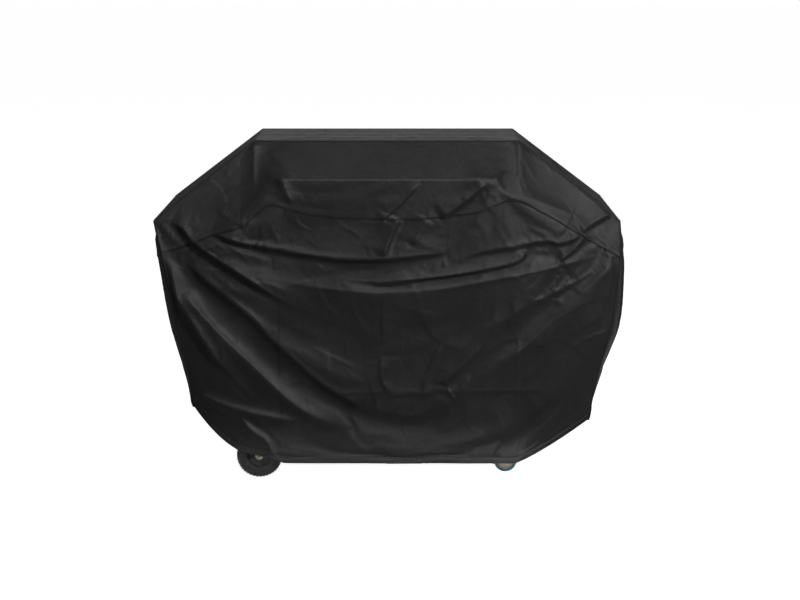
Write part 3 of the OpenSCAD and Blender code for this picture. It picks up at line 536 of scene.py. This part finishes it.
def panels(size, crumpled):
    """The five panels as grids of points, with their folds."""
    share = np.linspace(-1, 1, 2 * size["half"] + 1)
    k = row_numbers(size["rows"])
    front = raised(face_grid(-1, share, k), FRONT_FOLDS + (FRONT_CREASES if crumpled else []), 0)
    back = raised(face_grid(1, share, k), BACK_FOLDS + (BACK_CREASES if crumpled else []), 0)
    left = end_grid(-1, front[:, 0], back[:, 0], k, size["depth"])
    right = end_grid(1, front[:, -1], back[:, -1], k, size["depth"])
    roof = roof_grid(front[0], back[0], size["depth"])
    return {
        "roof": raised(roof, ROOF_FOLDS + (ROOF_CREASES if crumpled else []), 0, 1),
        "front": front,
        "back": back,
        "left": raised(left, LEFT_FOLDS + (LEFT_CREASES if crumpled else []), 1),
        "right": raised(right, RIGHT_FOLDS + (RIGHT_CREASES if crumpled else []), 1),
    }


ROOF_CREASES = stray_creases(60, 3, (-0.72, -0.14), (0.72, 0.17))
FRONT_CREASES = stray_creases(110, 4, (-0.70, 0.10), (0.70, 1.05))
BACK_CREASES = stray_creases(90, 5, (-0.70, 0.10), (0.70, 1.05))
LEFT_CREASES = stray_creases(40, 6, (-0.24, 0.25), (0.24, 0.85))
RIGHT_CREASES = stray_creases(40, 7, (-0.24, 0.25), (0.24, 0.85))


# ---------------- hanging the cloth
# How firmly points are held, from 0, free, to 1, fixed.
HOLD_ALL = 0.01
HOLD_HEM = 0.25
HOLD_CORNERS = 0.15
HOLD_SHOULDERS = 0.25
HOLD_TOP = 0.4
HOLD_ON_HOOD = 0.9
HOLD_GATHERS = 0.6
HEM_ROWS = 3
HANG_FRAMES = 40
# How much bigger than the shape it hangs in the cloth was cut, each way.
CUT_BIGGER = (1.03, 1.03, 1.018)
CLOTH = {
    "quality": 4,
    "mass": 0.05,
    "tension_stiffness": 120,
    "compression_stiffness": 120,
    "shear_stiffness": 25,
    "bending_stiffness": 0.15,
    "tension_damping": 10,
    "compression_damping": 10,
    "air_damping": 2,
    "vertex_group_mass": "hold",
    "pin_stiffness": 1.0,
}
CLOTH_GRAVITY = 0.12
# How far beside a piece the cloth still lies on it, and how far it stays outside of it.
BESIDE = 0.006
CLEAR = 0.0035
KNOBS = [f"knob_{n}" for n in (1, 2, 3, 4)]
SHELVES = ["left_shelf", "right_shelf"]
# For each panel, the direction it hangs on (axis and way) and the pieces under it.
LIES_ON = {
    "front": (1, -1, ["hood_handle", "control_panel", *KNOBS, *SHELVES, "front_left_leg",
                      "front_right_leg", "front_wheel_tyre", "hub_nuts"]),
    "back": (1, 1, ["hood_hinges", "firebox", *SHELVES, "rear_left_leg", "rear_right_leg",
                    "rear_wheel_tyre", "hub_nuts"]),
    "left": (0, -1, ["left_shelf"]),
    "right": (0, 1, ["right_shelf"]),
}


def weld(grids):
    """All panels as one list of points, with each panel's own numbers into it."""
    stacked = np.concatenate([g.reshape(-1, 3) for g in grids.values()])
    _, first, number = np.unique(np.round(stacked, 5), axis=0, return_index=True, return_inverse=True)
    number = number.ravel()
    numbers, start = {}, 0
    for name, grid in grids.items():
        count = grid.shape[0] * grid.shape[1]
        numbers[name] = number[start:start + count].reshape(grid.shape[:2])
        start += count
    return stacked[first], numbers


def grid_faces(number):
    """The four corners of every cell of a grid of point numbers."""
    return np.stack([number[:-1, :-1], number[:-1, 1:], number[1:, 1:], number[1:, :-1]], -1).reshape(-1, 4)


def hold_weights(numbers, count):
    """How firmly each point keeps its place: 1 where the cover is held up or gathered."""
    hold = np.zeros(count)

    def raise_to(index, value):
        hold[index] = np.maximum(hold[index], value)

    k = row_numbers(COARSE["rows"])
    share = np.abs(np.linspace(-1, 1, 2 * COARSE["half"] + 1))
    over_hood = share <= HOOD_X / END_X + 0.01
    raise_to(numbers["roof"][:, over_hood], 1)
    raise_to(numbers["roof"], HOLD_SHOULDERS)
    ridge_row = np.searchsorted(k, 1)
    for name in ("front", "back"):
        grid = numbers[name]
        raise_to(grid[0], 1)
        raise_to(grid[:3], HOLD_TOP)
        raise_to(grid[-HEM_ROWS:], HOLD_HEM)
        raise_to(grid[:, [0, -1]], HOLD_CORNERS)
    raise_to(numbers["front"][ridge_row, share < RIDGE_X / END_X], 1)
    beside_hood = smooth((HOOD_X / END_X + 0.05 - share) / 0.10)
    above_hinges = smooth((2.5 - k) / 0.5)[:, None]
    raise_to(numbers["back"], HOLD_ON_HOOD * above_hinges * beside_hood)
    for name in ("left", "right"):
        grid = numbers[name]
        raise_to(grid[:2], 1)
        raise_to(grid[-HEM_ROWS:], HOLD_GATHERS)
    raise_to(np.arange(count), HOLD_ALL)
    return hold


def hang(grids):
    """Let the welded cover sag and crumple a little under its own weight, cut a bit too big."""
    points, numbers = weld(grids)
    faces = np.concatenate([grid_faces(n) for n in numbers.values()])
    mesh = bpy.data.meshes.new("hanging")
    mesh.from_pydata(points.tolist(), [], faces.tolist())
    piece = bpy.data.objects.new("hanging", mesh)
    bpy.context.collection.objects.link(piece)
    piece.shape_key_add(name="Basis")
    cut = piece.shape_key_add(name="cut")
    cut.data.foreach_set("co", (points * CUT_BIGGER).ravel())
    cut.value = 0
    group = piece.vertex_groups.new(name="hold")
    for index, weight in enumerate(hold_weights(numbers, len(points))):
        group.add([index], float(weight), "REPLACE")
    cloth = piece.modifiers.new("cloth", "CLOTH")
    for setting, value in CLOTH.items():
        setattr(cloth.settings, setting, value)
    cloth.settings.rest_shape_key = cut
    cloth.settings.effector_weights.gravity = CLOTH_GRAVITY
    cloth.collision_settings.use_collision = False
    cloth.point_cache.frame_start = 1
    cloth.point_cache.frame_end = HANG_FRAMES
    scene = bpy.context.scene
    for number in range(1, HANG_FRAMES + 1):
        scene.frame_set(number)
    hung = piece.evaluated_get(bpy.context.evaluated_depsgraph_get())
    moved = np.empty(len(points) * 3)
    hung.data.vertices.foreach_get("co", moved)
    moved = moved.reshape(-1, 3)
    bpy.data.objects.remove(piece)
    scene.frame_set(1)
    return {name: moved[n] - grids[name] for name, n in numbers.items()}


def finer(values, rows, columns):
    """Values on the coarse grid, read smoothly at other rows and columns."""
    across = spline(values.swapaxes(0, 1), columns).swapaxes(0, 1)
    return spline(across, rows)


def keep_outside(grid, nodes, axis, way):
    """The cloth lies on these pieces, and doesn't pass through them."""
    others = [n for n in range(3) if n != axis]
    for node in nodes:
        lo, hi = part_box(node)
        beside = np.ones(grid.shape[:2], bool)
        for n in others:
            beside &= (grid[..., n] > lo[n] - BESIDE) & (grid[..., n] < hi[n] + BESIDE)
        face = hi[axis] + CLEAR if way > 0 else lo[axis] - CLEAR
        limit = np.maximum(grid[..., axis], face) if way > 0 else np.minimum(grid[..., axis], face)
        grid[..., axis] = np.where(beside, limit, grid[..., axis])


def laid_on_grill(made):
    for name, (axis, way, nodes) in LIES_ON.items():
        keep_outside(made[name], nodes, axis, way)
    return made


def show_grids():
    """The panels as they are shown: hung on the coarse grid, then folded on the fine one."""
    fine = panels(FINE, True)
    shift = hang(panels(COARSE, False))
    steps = []
    for coarse_count, fine_count in zip(COARSE["rows"], FINE["rows"]):
        start = sum(COARSE["rows"][:len(steps)])
        steps.append(start + np.linspace(0, coarse_count, fine_count, endpoint=False))
    face_rows = np.concatenate(steps + [[sum(COARSE["rows"])]])
    face_cols = np.linspace(0, 2 * COARSE["half"], 2 * FINE["half"] + 1)
    depth = np.linspace(0, COARSE["depth"], FINE["depth"] + 1)
    places = {
        "roof": (depth, face_cols),
        "front": (face_rows, face_cols),
        "back": (face_rows, face_cols),
        "left": (face_rows, depth),
        "right": (face_rows, depth),
    }
    hung = {name: grid + finer(shift[name], *places[name]) for name, grid in fine.items()}
    return laid_on_grill(hung)


grids = show_grids()


# ---------------- meshes
CLOTH_THICK = 0.0009
BEAD_SIDES = 10
STITCH_PITCH = 0.0075
STITCH_LENGTH = 0.0055
STITCH_R = 0.00055
# How deep a stitch lies in the cloth, and how far along it its shoulders are.
STITCH_SINK = 0.4
STITCH_SHOULDER = 0.62


def add_piece(name, points, faces, uv, material):
    mesh = bpy.data.meshes.new(name)
    mesh.from_pydata(points.tolist(), [], faces.tolist())
    mesh.polygons.foreach_set("use_smooth", [True] * len(mesh.polygons))
    corner = np.empty(len(mesh.loops), int)
    mesh.loops.foreach_get("vertex_index", corner)
    layer = mesh.uv_layers.new(name="cloth")
    layer.data.foreach_set("uv", uv[corner].ravel())
    mesh.materials.append(material)
    piece = bpy.data.objects.new(name, mesh)
    bpy.context.collection.objects.link(piece)
    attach(piece, "grill")
    return piece


def cloth_uv(grid):
    """The place of each point on the flat cloth, in metres."""
    u = np.cumsum(np.linalg.norm(np.diff(grid, axis=1, prepend=grid[:, :1]), axis=2), axis=1)
    v = np.cumsum(np.linalg.norm(np.diff(grid, axis=0, prepend=grid[:1]), axis=2), axis=0)
    return np.stack([u - u.mean(1, keepdims=True), v], axis=2).reshape(-1, 2)


def cloth_sheet(name, grid, material, thick=CLOTH_THICK, lift=0.0):
    """A thin closed sheet whose outer face lies on the grid, lifted outwards."""
    rows, cols = grid.shape[:2]
    outward = outward_normals(grid)
    outer = grid + outward * lift
    inner = outer - outward * thick
    number = np.arange(rows * cols).reshape(rows, cols)
    rim = np.concatenate([number[0, :-1], number[:-1, -1], number[-1, :0:-1], number[:0:-1, 0]])
    sides = np.stack([rim, np.roll(rim, -1), np.roll(rim, -1) + number.size, rim + number.size], axis=1)
    top = grid_faces(number)
    a, b, d = outer[0, 0], outer[0, 1], outer[1, 0]
    turned = np.dot(np.cross(b - a, d - a), outward[0, 0]) > 0
    if turned:
        faces = np.concatenate([top, top[:, ::-1] + number.size, sides[:, ::-1]])
    else:
        faces = np.concatenate([top[:, ::-1], top + number.size, sides])
    uv = cloth_uv(grid)
    return add_piece(name, np.concatenate([outer.reshape(-1, 3), inner.reshape(-1, 3)]), faces,
                     np.concatenate([uv, uv]), material)


def unit(vectors):
    return vectors / np.maximum(np.linalg.norm(vectors, axis=-1, keepdims=True), 1e-9)


def bead(name, line, out, half_width, half_height, material):
    """A flat-oval cord along a line: a seam's turned-in edges, or a hem's rolled edge."""
    along = unit(np.gradient(line, axis=0))
    out = unit(out - along * (out * along).sum(1, keepdims=True))
    side = np.cross(along, out)
    turn = np.linspace(0, 2 * math.pi, BEAD_SIDES, endpoint=False)[None, :, None]
    ring = line[:, None] + side[:, None] * np.cos(turn) * half_width
    ring = ring + out[:, None] * np.sin(turn) * half_height
    count = len(line)
    number = np.arange(count * BEAD_SIDES).reshape(count, BEAD_SIDES)
    wrapped = np.concatenate([number, number[:, :1]], axis=1)
    faces = grid_faces(wrapped)
    points = np.concatenate([ring.reshape(-1, 3), line[:1], line[-1:]])
    first, last = len(points) - 2, len(points) - 1
    around = np.roll(number[0], -1)
    caps = np.stack([np.full(BEAD_SIDES, first), number[0], around, around], axis=1)[:, :3]
    ends = np.stack([np.full(BEAD_SIDES, last), np.roll(number[-1], -1), number[-1]], axis=1)
    distance = np.cumsum(np.linalg.norm(np.diff(line, axis=0, prepend=line[:1]), axis=1))
    uv = np.stack(np.broadcast_arrays(distance[:, None], turn[..., 0] * half_width), axis=2).reshape(-1, 2)
    uv = np.concatenate([uv, [[0, 0], [distance[-1], 0]]])
    all_faces = faces.tolist() + caps.tolist() + ends.tolist()
    return add_piece(name, points, np.array(all_faces, dtype=object), uv, material)


def stitches(name, rows, material):
    """Short thread stitches along lines; rows is a list of (line, outward directions)."""
    points, faces = [], []
    for line, out in rows:
        distance = np.cumsum(np.linalg.norm(np.diff(line, axis=0, prepend=line[:1]), axis=1))
        spots = np.arange(STITCH_PITCH, distance[-1] - STITCH_PITCH, STITCH_PITCH)
        place = np.stack([np.interp(spots, distance, line[:, n]) for n in range(3)], axis=1)
        ahead = np.stack([np.interp(spots + 0.001, distance, line[:, n]) for n in range(3)], axis=1)
        along = unit(ahead - place)
        up = unit(np.stack([np.interp(spots, distance, out[:, n]) for n in range(3)], axis=1))
        across = np.cross(along, up)
        for p, a, u, c in zip(place + up * STITCH_R * STITCH_SINK, along, up, across):
            start = len(points)
            half = a * STITCH_LENGTH / 2
            points.append(p - half - u * STITCH_R)
            for end in (-STITCH_SHOULDER, STITCH_SHOULDER):
                for side, rise in ((1, 0), (0, 1), (-1, 0), (0, -1)):
                    points.append(p + half * end + (c * side + u * rise) * STITCH_R)
            points.append(p + half - u * STITCH_R)
            for n in range(4):
                m = (n + 1) % 4
                faces.append((start, start + 1 + m, start + 1 + n))
                faces.append((start + 1 + n, start + 1 + m, start + 5 + m, start + 5 + n))
                faces.append((start + 9, start + 5 + n, start + 5 + m))
    faces = np.array(faces, dtype=object)
    return add_piece(name, np.array(points), faces, np.zeros((len(points), 2)), material)


# ---------------- materials
# The cloth's grain, as scale (waves or cells in a metre), depth in metres, and strength.
WEAVE = (260.0, 0.00025, 0.5)
CRUMPLE = (34.0, 0.0018, 0.5)
CRACKS = (16.0, 0.0006, 0.35)
BLOTCH_SCALE = 5.0
WEAR_SCALE = 28.0
SHEEN_ROUGHNESS = 0.42
SHEEN_TINT = (0.86, 0.88, 0.92, 1)
CLOTH_IOR = 1.45


def new_material(name, **settings):
    """A material on one Principled shader, with the settings that are the same all over it."""
    material = bpy.data.materials.new(name)
    material.use_nodes = True
    tree = material.node_tree
    shader = tree.nodes["Principled BSDF"]
    for socket, value in settings.items():
        shader.inputs[socket.replace("_", " ")].default_value = value
    return material, tree.nodes, tree.links, shader


def noise(nodes, links, place, scale, detail=3.0, rough=0.5):
    node = nodes.new("ShaderNodeTexNoise")
    node.inputs["Scale"].default_value = scale
    node.inputs["Detail"].default_value = detail
    node.inputs["Roughness"].default_value = rough
    links.new(place, node.inputs["Vector"])
    return node.outputs["Fac"]


def in_range(nodes, links, value, low, high, to_low, to_high):
    node = nodes.new("ShaderNodeMapRange")
    for socket, number in zip(("From Min", "From Max", "To Min", "To Max"), (low, high, to_low, to_high)):
        node.inputs[socket].default_value = number
    links.new(value, node.inputs["Value"])
    return node.outputs["Result"]


def blend_colour(nodes, links, value, dark, light):
    ramp = nodes.new("ShaderNodeValToRGB")
    ramp.color_ramp.elements[0].color = (*dark, 1)
    ramp.color_ramp.elements[1].color = (*light, 1)
    links.new(value, ramp.inputs[0])
    return ramp.outputs["Color"]


def bump(nodes, links, height, distance, strength, before=None):
    node = nodes.new("ShaderNodeBump")
    node.inputs["Distance"].default_value = distance
    node.inputs["Strength"].default_value = strength
    links.new(height, node.inputs["Height"])
    if before is not None:
        links.new(before, node.inputs["Normal"])
    return node.outputs["Normal"]


def waves(nodes, links, place, direction, scale):
    node = nodes.new("ShaderNodeTexWave")
    node.bands_direction = direction
    node.inputs["Scale"].default_value = scale
    links.new(place, node.inputs["Vector"])
    return node.outputs["Fac"]


def fabric(name, dark, light, rough_low, rough_high, sheen):
    """Coated polyester: a plain weave, faint packing creases, uneven blackness and sheen."""
    material, nodes, links, shader = new_material(
        name, Sheen_Weight=sheen, Sheen_Roughness=SHEEN_ROUGHNESS, Sheen_Tint=SHEEN_TINT, IOR=CLOTH_IOR)
    flat = nodes.new("ShaderNodeUVMap")
    flat.uv_map = "cloth"
    flat = flat.outputs["UV"]
    blotches = noise(nodes, links, flat, BLOTCH_SCALE, 5.0, 0.62)
    blotches = in_range(nodes, links, blotches, 0.32, 0.68, 0, 1)
    links.new(blend_colour(nodes, links, blotches, dark, light), shader.inputs["Base Color"])
    wear = noise(nodes, links, flat, WEAR_SCALE, 4.0, 0.6)
    links.new(in_range(nodes, links, wear, 0.3, 0.7, rough_low, rough_high), shader.inputs["Roughness"])
    weave = value_node(nodes, links, "MAXIMUM", waves(nodes, links, flat, "X", WEAVE[0]),
                       waves(nodes, links, flat, "Y", WEAVE[0]))
    crumple = noise(nodes, links, flat, CRUMPLE[0], 6.0, 0.6)
    cracks = nodes.new("ShaderNodeTexVoronoi")
    cracks.feature = "DISTANCE_TO_EDGE"
    cracks.inputs["Scale"].default_value = CRACKS[0]
    links.new(flat, cracks.inputs["Vector"])
    edges = in_range(nodes, links, cracks.outputs["Distance"], 0.0, 0.10, 1, 0)
    normal = bump(nodes, links, weave, *WEAVE[1:])
    normal = bump(nodes, links, crumple, *CRUMPLE[1:], normal)
    normal = bump(nodes, links, edges, *CRACKS[1:], normal)
    links.new(normal, shader.inputs["Normal"])
    return material


def moulded(name, dark, light, rough_low, rough_high, grain, depth, **settings):
    """Moulded plastic, rubber or powder coat: a fine grain, and colour that wanders a little."""
    material, nodes, links, shader = new_material(name, **settings)
    place = nodes.new("ShaderNodeTexCoord").outputs["Object"]
    tint = in_range(nodes, links, noise(nodes, links, place, 22.0, 4.0), 0.3, 0.7, 0, 1)
    links.new(blend_colour(nodes, links, tint, dark, light), shader.inputs["Base Color"])
    dull = in_range(nodes, links, noise(nodes, links, place, 60.0, 3.0), 0.3, 0.7, rough_low, rough_high)
    links.new(dull, shader.inputs["Roughness"])
    links.new(bump(nodes, links, noise(nodes, links, place, grain, 2.0), depth, 0.4), shader.inputs["Normal"])
    return material


def brushed(name, dark, light, rough_low, rough_high, stretch, metallic=1.0):
    """Metal with fine brushing along one axis and faint finger marks."""
    material, nodes, links, shader = new_material(name, Metallic=metallic)
    place = nodes.new("ShaderNodeTexCoord").outputs["Object"]
    turned = nodes.new("ShaderNodeMapping")
    turned.inputs["Scale"].default_value = stretch
    links.new(place, turned.inputs["Vector"])
    lines = noise(nodes, links, turned.outputs["Vector"], 12.0, 5.0, 0.6)
    links.new(blend_colour(nodes, links, in_range(nodes, links, lines, 0.3, 0.7, 0, 1), dark, light),
              shader.inputs["Base Color"])
    marks = noise(nodes, links, place, 9.0, 4.0)
    links.new(in_range(nodes, links, marks, 0.3, 0.7, rough_low, rough_high), shader.inputs["Roughness"])
    links.new(bump(nodes, links, lines, 0.0002, 0.3), shader.inputs["Normal"])
    return material


# For each slot of the grill's pieces: its finish, its name, two colours, the lowest and
# highest roughness, and then the grain's scale and depth, or the brushing's stretch.
GRILL_FINISHES = {
    "hood_enamel": (moulded, "gloss_enamel", (0.012, 0.012, 0.013), (0.020, 0.020, 0.021),
                    0.12, 0.22, 260.0, 0.0002),
    "cart_enamel": (moulded, "powder_coat", (0.016, 0.016, 0.016), (0.028, 0.028, 0.028),
                    0.42, 0.55, 900.0, 0.0003),
    "stainless": (brushed, "brushed_steel", (0.42, 0.42, 0.43), (0.60, 0.60, 0.61),
                  0.24, 0.38, (1, 30, 30)),
    "valve_brass": (brushed, "machined_brass", (0.55, 0.38, 0.14), (0.76, 0.56, 0.26),
                    0.22, 0.34, (20, 1, 20)),
    "knob_plastic": (moulded, "knob_plastic", (0.016, 0.016, 0.017), (0.026, 0.026, 0.027),
                     0.34, 0.46, 1100.0, 0.0002),
    "wheel_plastic": (moulded, "wheel_plastic", (0.018, 0.018, 0.019), (0.034, 0.034, 0.036),
                      0.34, 0.50, 700.0, 0.0003),
    "hub_metal": (brushed, "yellow_zinc", (0.62, 0.48, 0.27), (0.86, 0.74, 0.50),
                  0.28, 0.42, (20, 1, 20), 0.7),
    "caster_zinc": (brushed, "bright_zinc", (0.74, 0.75, 0.76), (0.90, 0.91, 0.92),
                    0.30, 0.46, (6, 6, 6), 0.55),
    "caster_rubber": (moulded, "blue_rubber", (0.07, 0.26, 0.38), (0.12, 0.34, 0.47),
                      0.40, 0.55, 800.0, 0.0002),
    "caster_hub": (moulded, "tan_core", (0.74, 0.54, 0.26), (0.86, 0.68, 0.38),
                   0.32, 0.46, 600.0, 0.0002),
}
HOOD_GLOSS = {"Coat_Weight": 0.5, "Coat_Roughness": 0.08}


def grill_looks():
    """The finish for each material slot of the grill's own pieces."""
    looks = {}
    for slot_name, (finish, *settings) in GRILL_FINISHES.items():
        coat = HOOD_GLOSS if slot_name == "hood_enamel" else {}
        looks[slot_name] = finish(*settings, **coat)
    return looks


# ---------------- the cover's pieces
# The yoke laps over the skirt by so many rows; it stands proud and the skirt is tucked in.
LAP_ROWS = 3
LAP = 0.0030
TUCK = 0.0012
# Half width and half height of the beads.
SEAM_BEAD = (0.0036, 0.0013)
HEM_BEAD = (0.0012, 0.0016)
LIP_BEAD = (0.0011, 0.0009)
BEAD_SINK = 0.0004
# Thickness of a layer, and how far its outer face lies outside the cloth.
HEM_LAYER = {"thick": 0.0020, "lift": 0.0002}
TAPE_LAYER = {"thick": 0.0006, "lift": -0.0032}
ELASTIC_LAYER = {"thick": 0.0010, "lift": -0.0024}
YOKE_THREAD_PROUD = 0.0002
HEM_THREAD_PROUD = 0.0011
# The pleats of the gathered hems.
PUCKER_PITCH = 0.026
PUCKER_HEIGHT = 0.0045
PUCKER_REACH = 0.050


def row_of(k):
    """The line of the fine grid that row k is on."""
    return sum(FINE["rows"][:k])


def gathered(grid):
    """Small pleats that run up from an elastic hem."""
    out = outward_normals(grid)
    edge = grid[-1]
    distance = np.cumsum(np.linalg.norm(np.diff(edge, axis=0, prepend=edge[:1]), axis=1))
    wander = 0.35 * np.sin(distance * 61.0) + 0.25 * np.sin(distance * 23.0 + 1.0)
    wave = np.sin(2 * math.pi * distance / PUCKER_PITCH + 2.2 * wander) * (1 + 0.5 * wander)
    above = np.linalg.norm(grid - edge[None], axis=2)
    fade = np.exp(-(above / PUCKER_REACH) ** 1.3)
    return grid + out * (wave[None, :] * PUCKER_HEIGHT * fade)[..., None]


def face_pieces(way, grid, cloth, trim, thread):
    """The yoke, skirt, hem and seam tape of the front or back, and their stitching."""
    seam, hem = row_of(2), row_of(6)
    out = outward_normals(grid)
    yoke_grid = grid[:seam + 1].copy()
    rows_up = np.arange(seam, -1, -1)
    yoke_grid += out[:seam + 1] * (LAP * np.exp(-(rows_up / 4.0) ** 2))[:, None, None]
    skirt_grid = grid[seam - LAP_ROWS:hem + 1].copy()
    tuck = TUCK * smooth(1 - np.arange(len(skirt_grid)) / (LAP_ROWS + 2.0))
    skirt_grid -= out[seam - LAP_ROWS:hem + 1] * tuck[:, None, None]
    yoke = cloth_sheet(f"{way}_yoke", yoke_grid, cloth)
    skirt = cloth_sheet(f"{way}_skirt", skirt_grid, cloth)
    band = cloth_sheet(f"{way}_hem_band", grid[hem:], trim, **HEM_LAYER)
    tape = cloth_sheet(f"{way}_yoke_tape", grid[seam - LAP_ROWS - 1:seam + 4], trim, **TAPE_LAYER)
    edge = bead(f"{way}_hem_edge", grid[-1] - out[-1] * BEAD_SINK, out[-1], *HEM_BEAD, trim)
    # The yoke's lip is made of the darker trim cloth: painted shade along the yoke seam.
    lip = bead(f"{way}_yoke_lip", yoke_grid[-1] - out[seam] * BEAD_SINK, out[seam], *LIP_BEAD, trim)
    seam_rows = [(yoke_grid[seam - n] + out[seam] * YOKE_THREAD_PROUD, out[seam]) for n in (1, 3)]
    hem_rows = [(grid[hem] + out[hem] * HEM_THREAD_PROUD, out[hem])]
    yoke_thread = stitches(f"{way}_yoke_stitches", seam_rows, thread)
    hem_thread = stitches(f"{way}_hem_stitches", hem_rows, thread)
    return {"yoke": yoke, "skirt": skirt, "band": band, "tape": tape, "edge": edge, "lip": lip,
            "yoke_thread": yoke_thread, "hem_thread": hem_thread}


def end_pieces(way, grid, cloth, trim, thread):
    """One end panel with its gathered hem, the elastic in it and its stitching."""
    hem = row_of(6)
    gathered_grid = gathered(grid)
    out = outward_normals(gathered_grid)
    panel = cloth_sheet(f"{way}_end_panel", gathered_grid[:hem + 1], cloth)
    band = cloth_sheet(f"{way}_hem_band", gathered_grid[hem:], trim, **HEM_LAYER)
    elastic = cloth_sheet(f"{way}_elastic", gathered_grid[hem + 1:-1], trim, **ELASTIC_LAYER)
    edge = bead(f"{way}_hem_edge", gathered_grid[-1] - out[-1] * BEAD_SINK, out[-1], *HEM_BEAD, trim)
    hem_rows = [(gathered_grid[hem] + out[hem] * HEM_THREAD_PROUD, out[hem])]
    hem_thread = stitches(f"{way}_hem_stitches", hem_rows, thread)
    return {"panel": panel, "band": band, "elastic": elastic, "edge": edge, "hem_thread": hem_thread}


def roof_pieces(grid, cloth):
    """The flat top over the hood and the shoulder on each side of it."""
    share = np.linspace(-1, 1, grid.shape[1])
    first, last = np.searchsorted(share, (-HOOD_X / END_X, HOOD_X / END_X))
    return {
        "top": cloth_sheet("top_panel", grid[:, first:last + 1], cloth),
        "left": cloth_sheet("left_shoulder", grid[:, :first + 1], cloth),
        "right": cloth_sheet("right_shoulder", grid[:, last:], cloth),
    }


def seam_beads(cloth):
    """The raised seams along the shoulders, the top and the four corners."""
    made = {}
    front, back, roof = grids["front"], grids["back"], grids["roof"]
    roof_out = outward_normals(roof)
    for way, grid, edge in (("front", front, 0), ("back", back, -1)):
        out = unit(outward_normals(grid)[0] + roof_out[edge])
        made[f"{way}_top_seam"] = bead(f"{way}_top_seam", grid[0], out, *SEAM_BEAD, cloth)
        face_out = outward_normals(grid)
        for name, column, end in (("left", 0, grids["left"]), ("right", -1, grids["right"])):
            end_out = outward_normals(end)[:, 0 if way == "front" else -1]
            out = unit(face_out[:, column] + end_out)
            made[f"{way}_{name}_seam"] = bead(f"{way}_{name}_seam", grid[:, column], out, *SEAM_BEAD, cloth)
    for name, end in (("left", grids["left"]), ("right", grids["right"])):
        column = 0 if name == "left" else -1
        out = unit(outward_normals(end)[0] + roof_out[:, column])
        made[f"{name}_shelf_seam"] = bead(f"{name}_shelf_seam", end[0], out, *SEAM_BEAD, cloth)
    return made


cloth = fabric("cover_cloth", (0.011, 0.011, 0.0115), (0.021, 0.021, 0.0215), 0.42, 0.56, 0.12)
# The trim cloth is a little darker and less glossy than the cover cloth. On the yoke seam's lip this darker
# colour is painted shade, deepening the seam's dark line.
trim = fabric("cover_trim_cloth", (0.010, 0.010, 0.0105), (0.018, 0.018, 0.0185), 0.48, 0.60, 0.08)
thread = moulded("thread", (0.016, 0.016, 0.017), (0.028, 0.028, 0.029), 0.5, 0.6, 2000.0, 0.0001)

roof_parts = roof_pieces(grids["roof"], cloth)
front_parts = face_pieces("front", grids["front"], cloth, trim, thread)
back_parts = face_pieces("back", grids["back"], cloth, trim, thread)
left_parts = end_pieces("left", grids["left"], cloth, trim, thread)
right_parts = end_pieces("right", grids["right"], cloth, trim, thread)
seams = seam_beads(cloth)

for parts, way in ((front_parts, "front"), (back_parts, "back")):
    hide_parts(f"cover_{way}_yoke")
    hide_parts(f"cover_{way}_skirt")
    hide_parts(f"cover_{way}_hem")
    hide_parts(f"{way}_yoke_seam_tape")
for parts, way in ((left_parts, "left"), (right_parts, "right")):
    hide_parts(f"cover_{way}_side")
    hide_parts(f"cover_{way}_hem")
    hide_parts(f"{way}_hem_elastic")
    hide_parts(f"cover_{way}_shoulder")
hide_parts("cover_top_panel")


looks = grill_looks()
for part in frame["record"]["subparts"]:
    look = looks.get(part["material_slot"])
    shape = bpy.data.objects.get(part["node"])
    if look is None or shape is None:
        continue
    for material_slot in shape.material_slots:
        material_slot.material = look
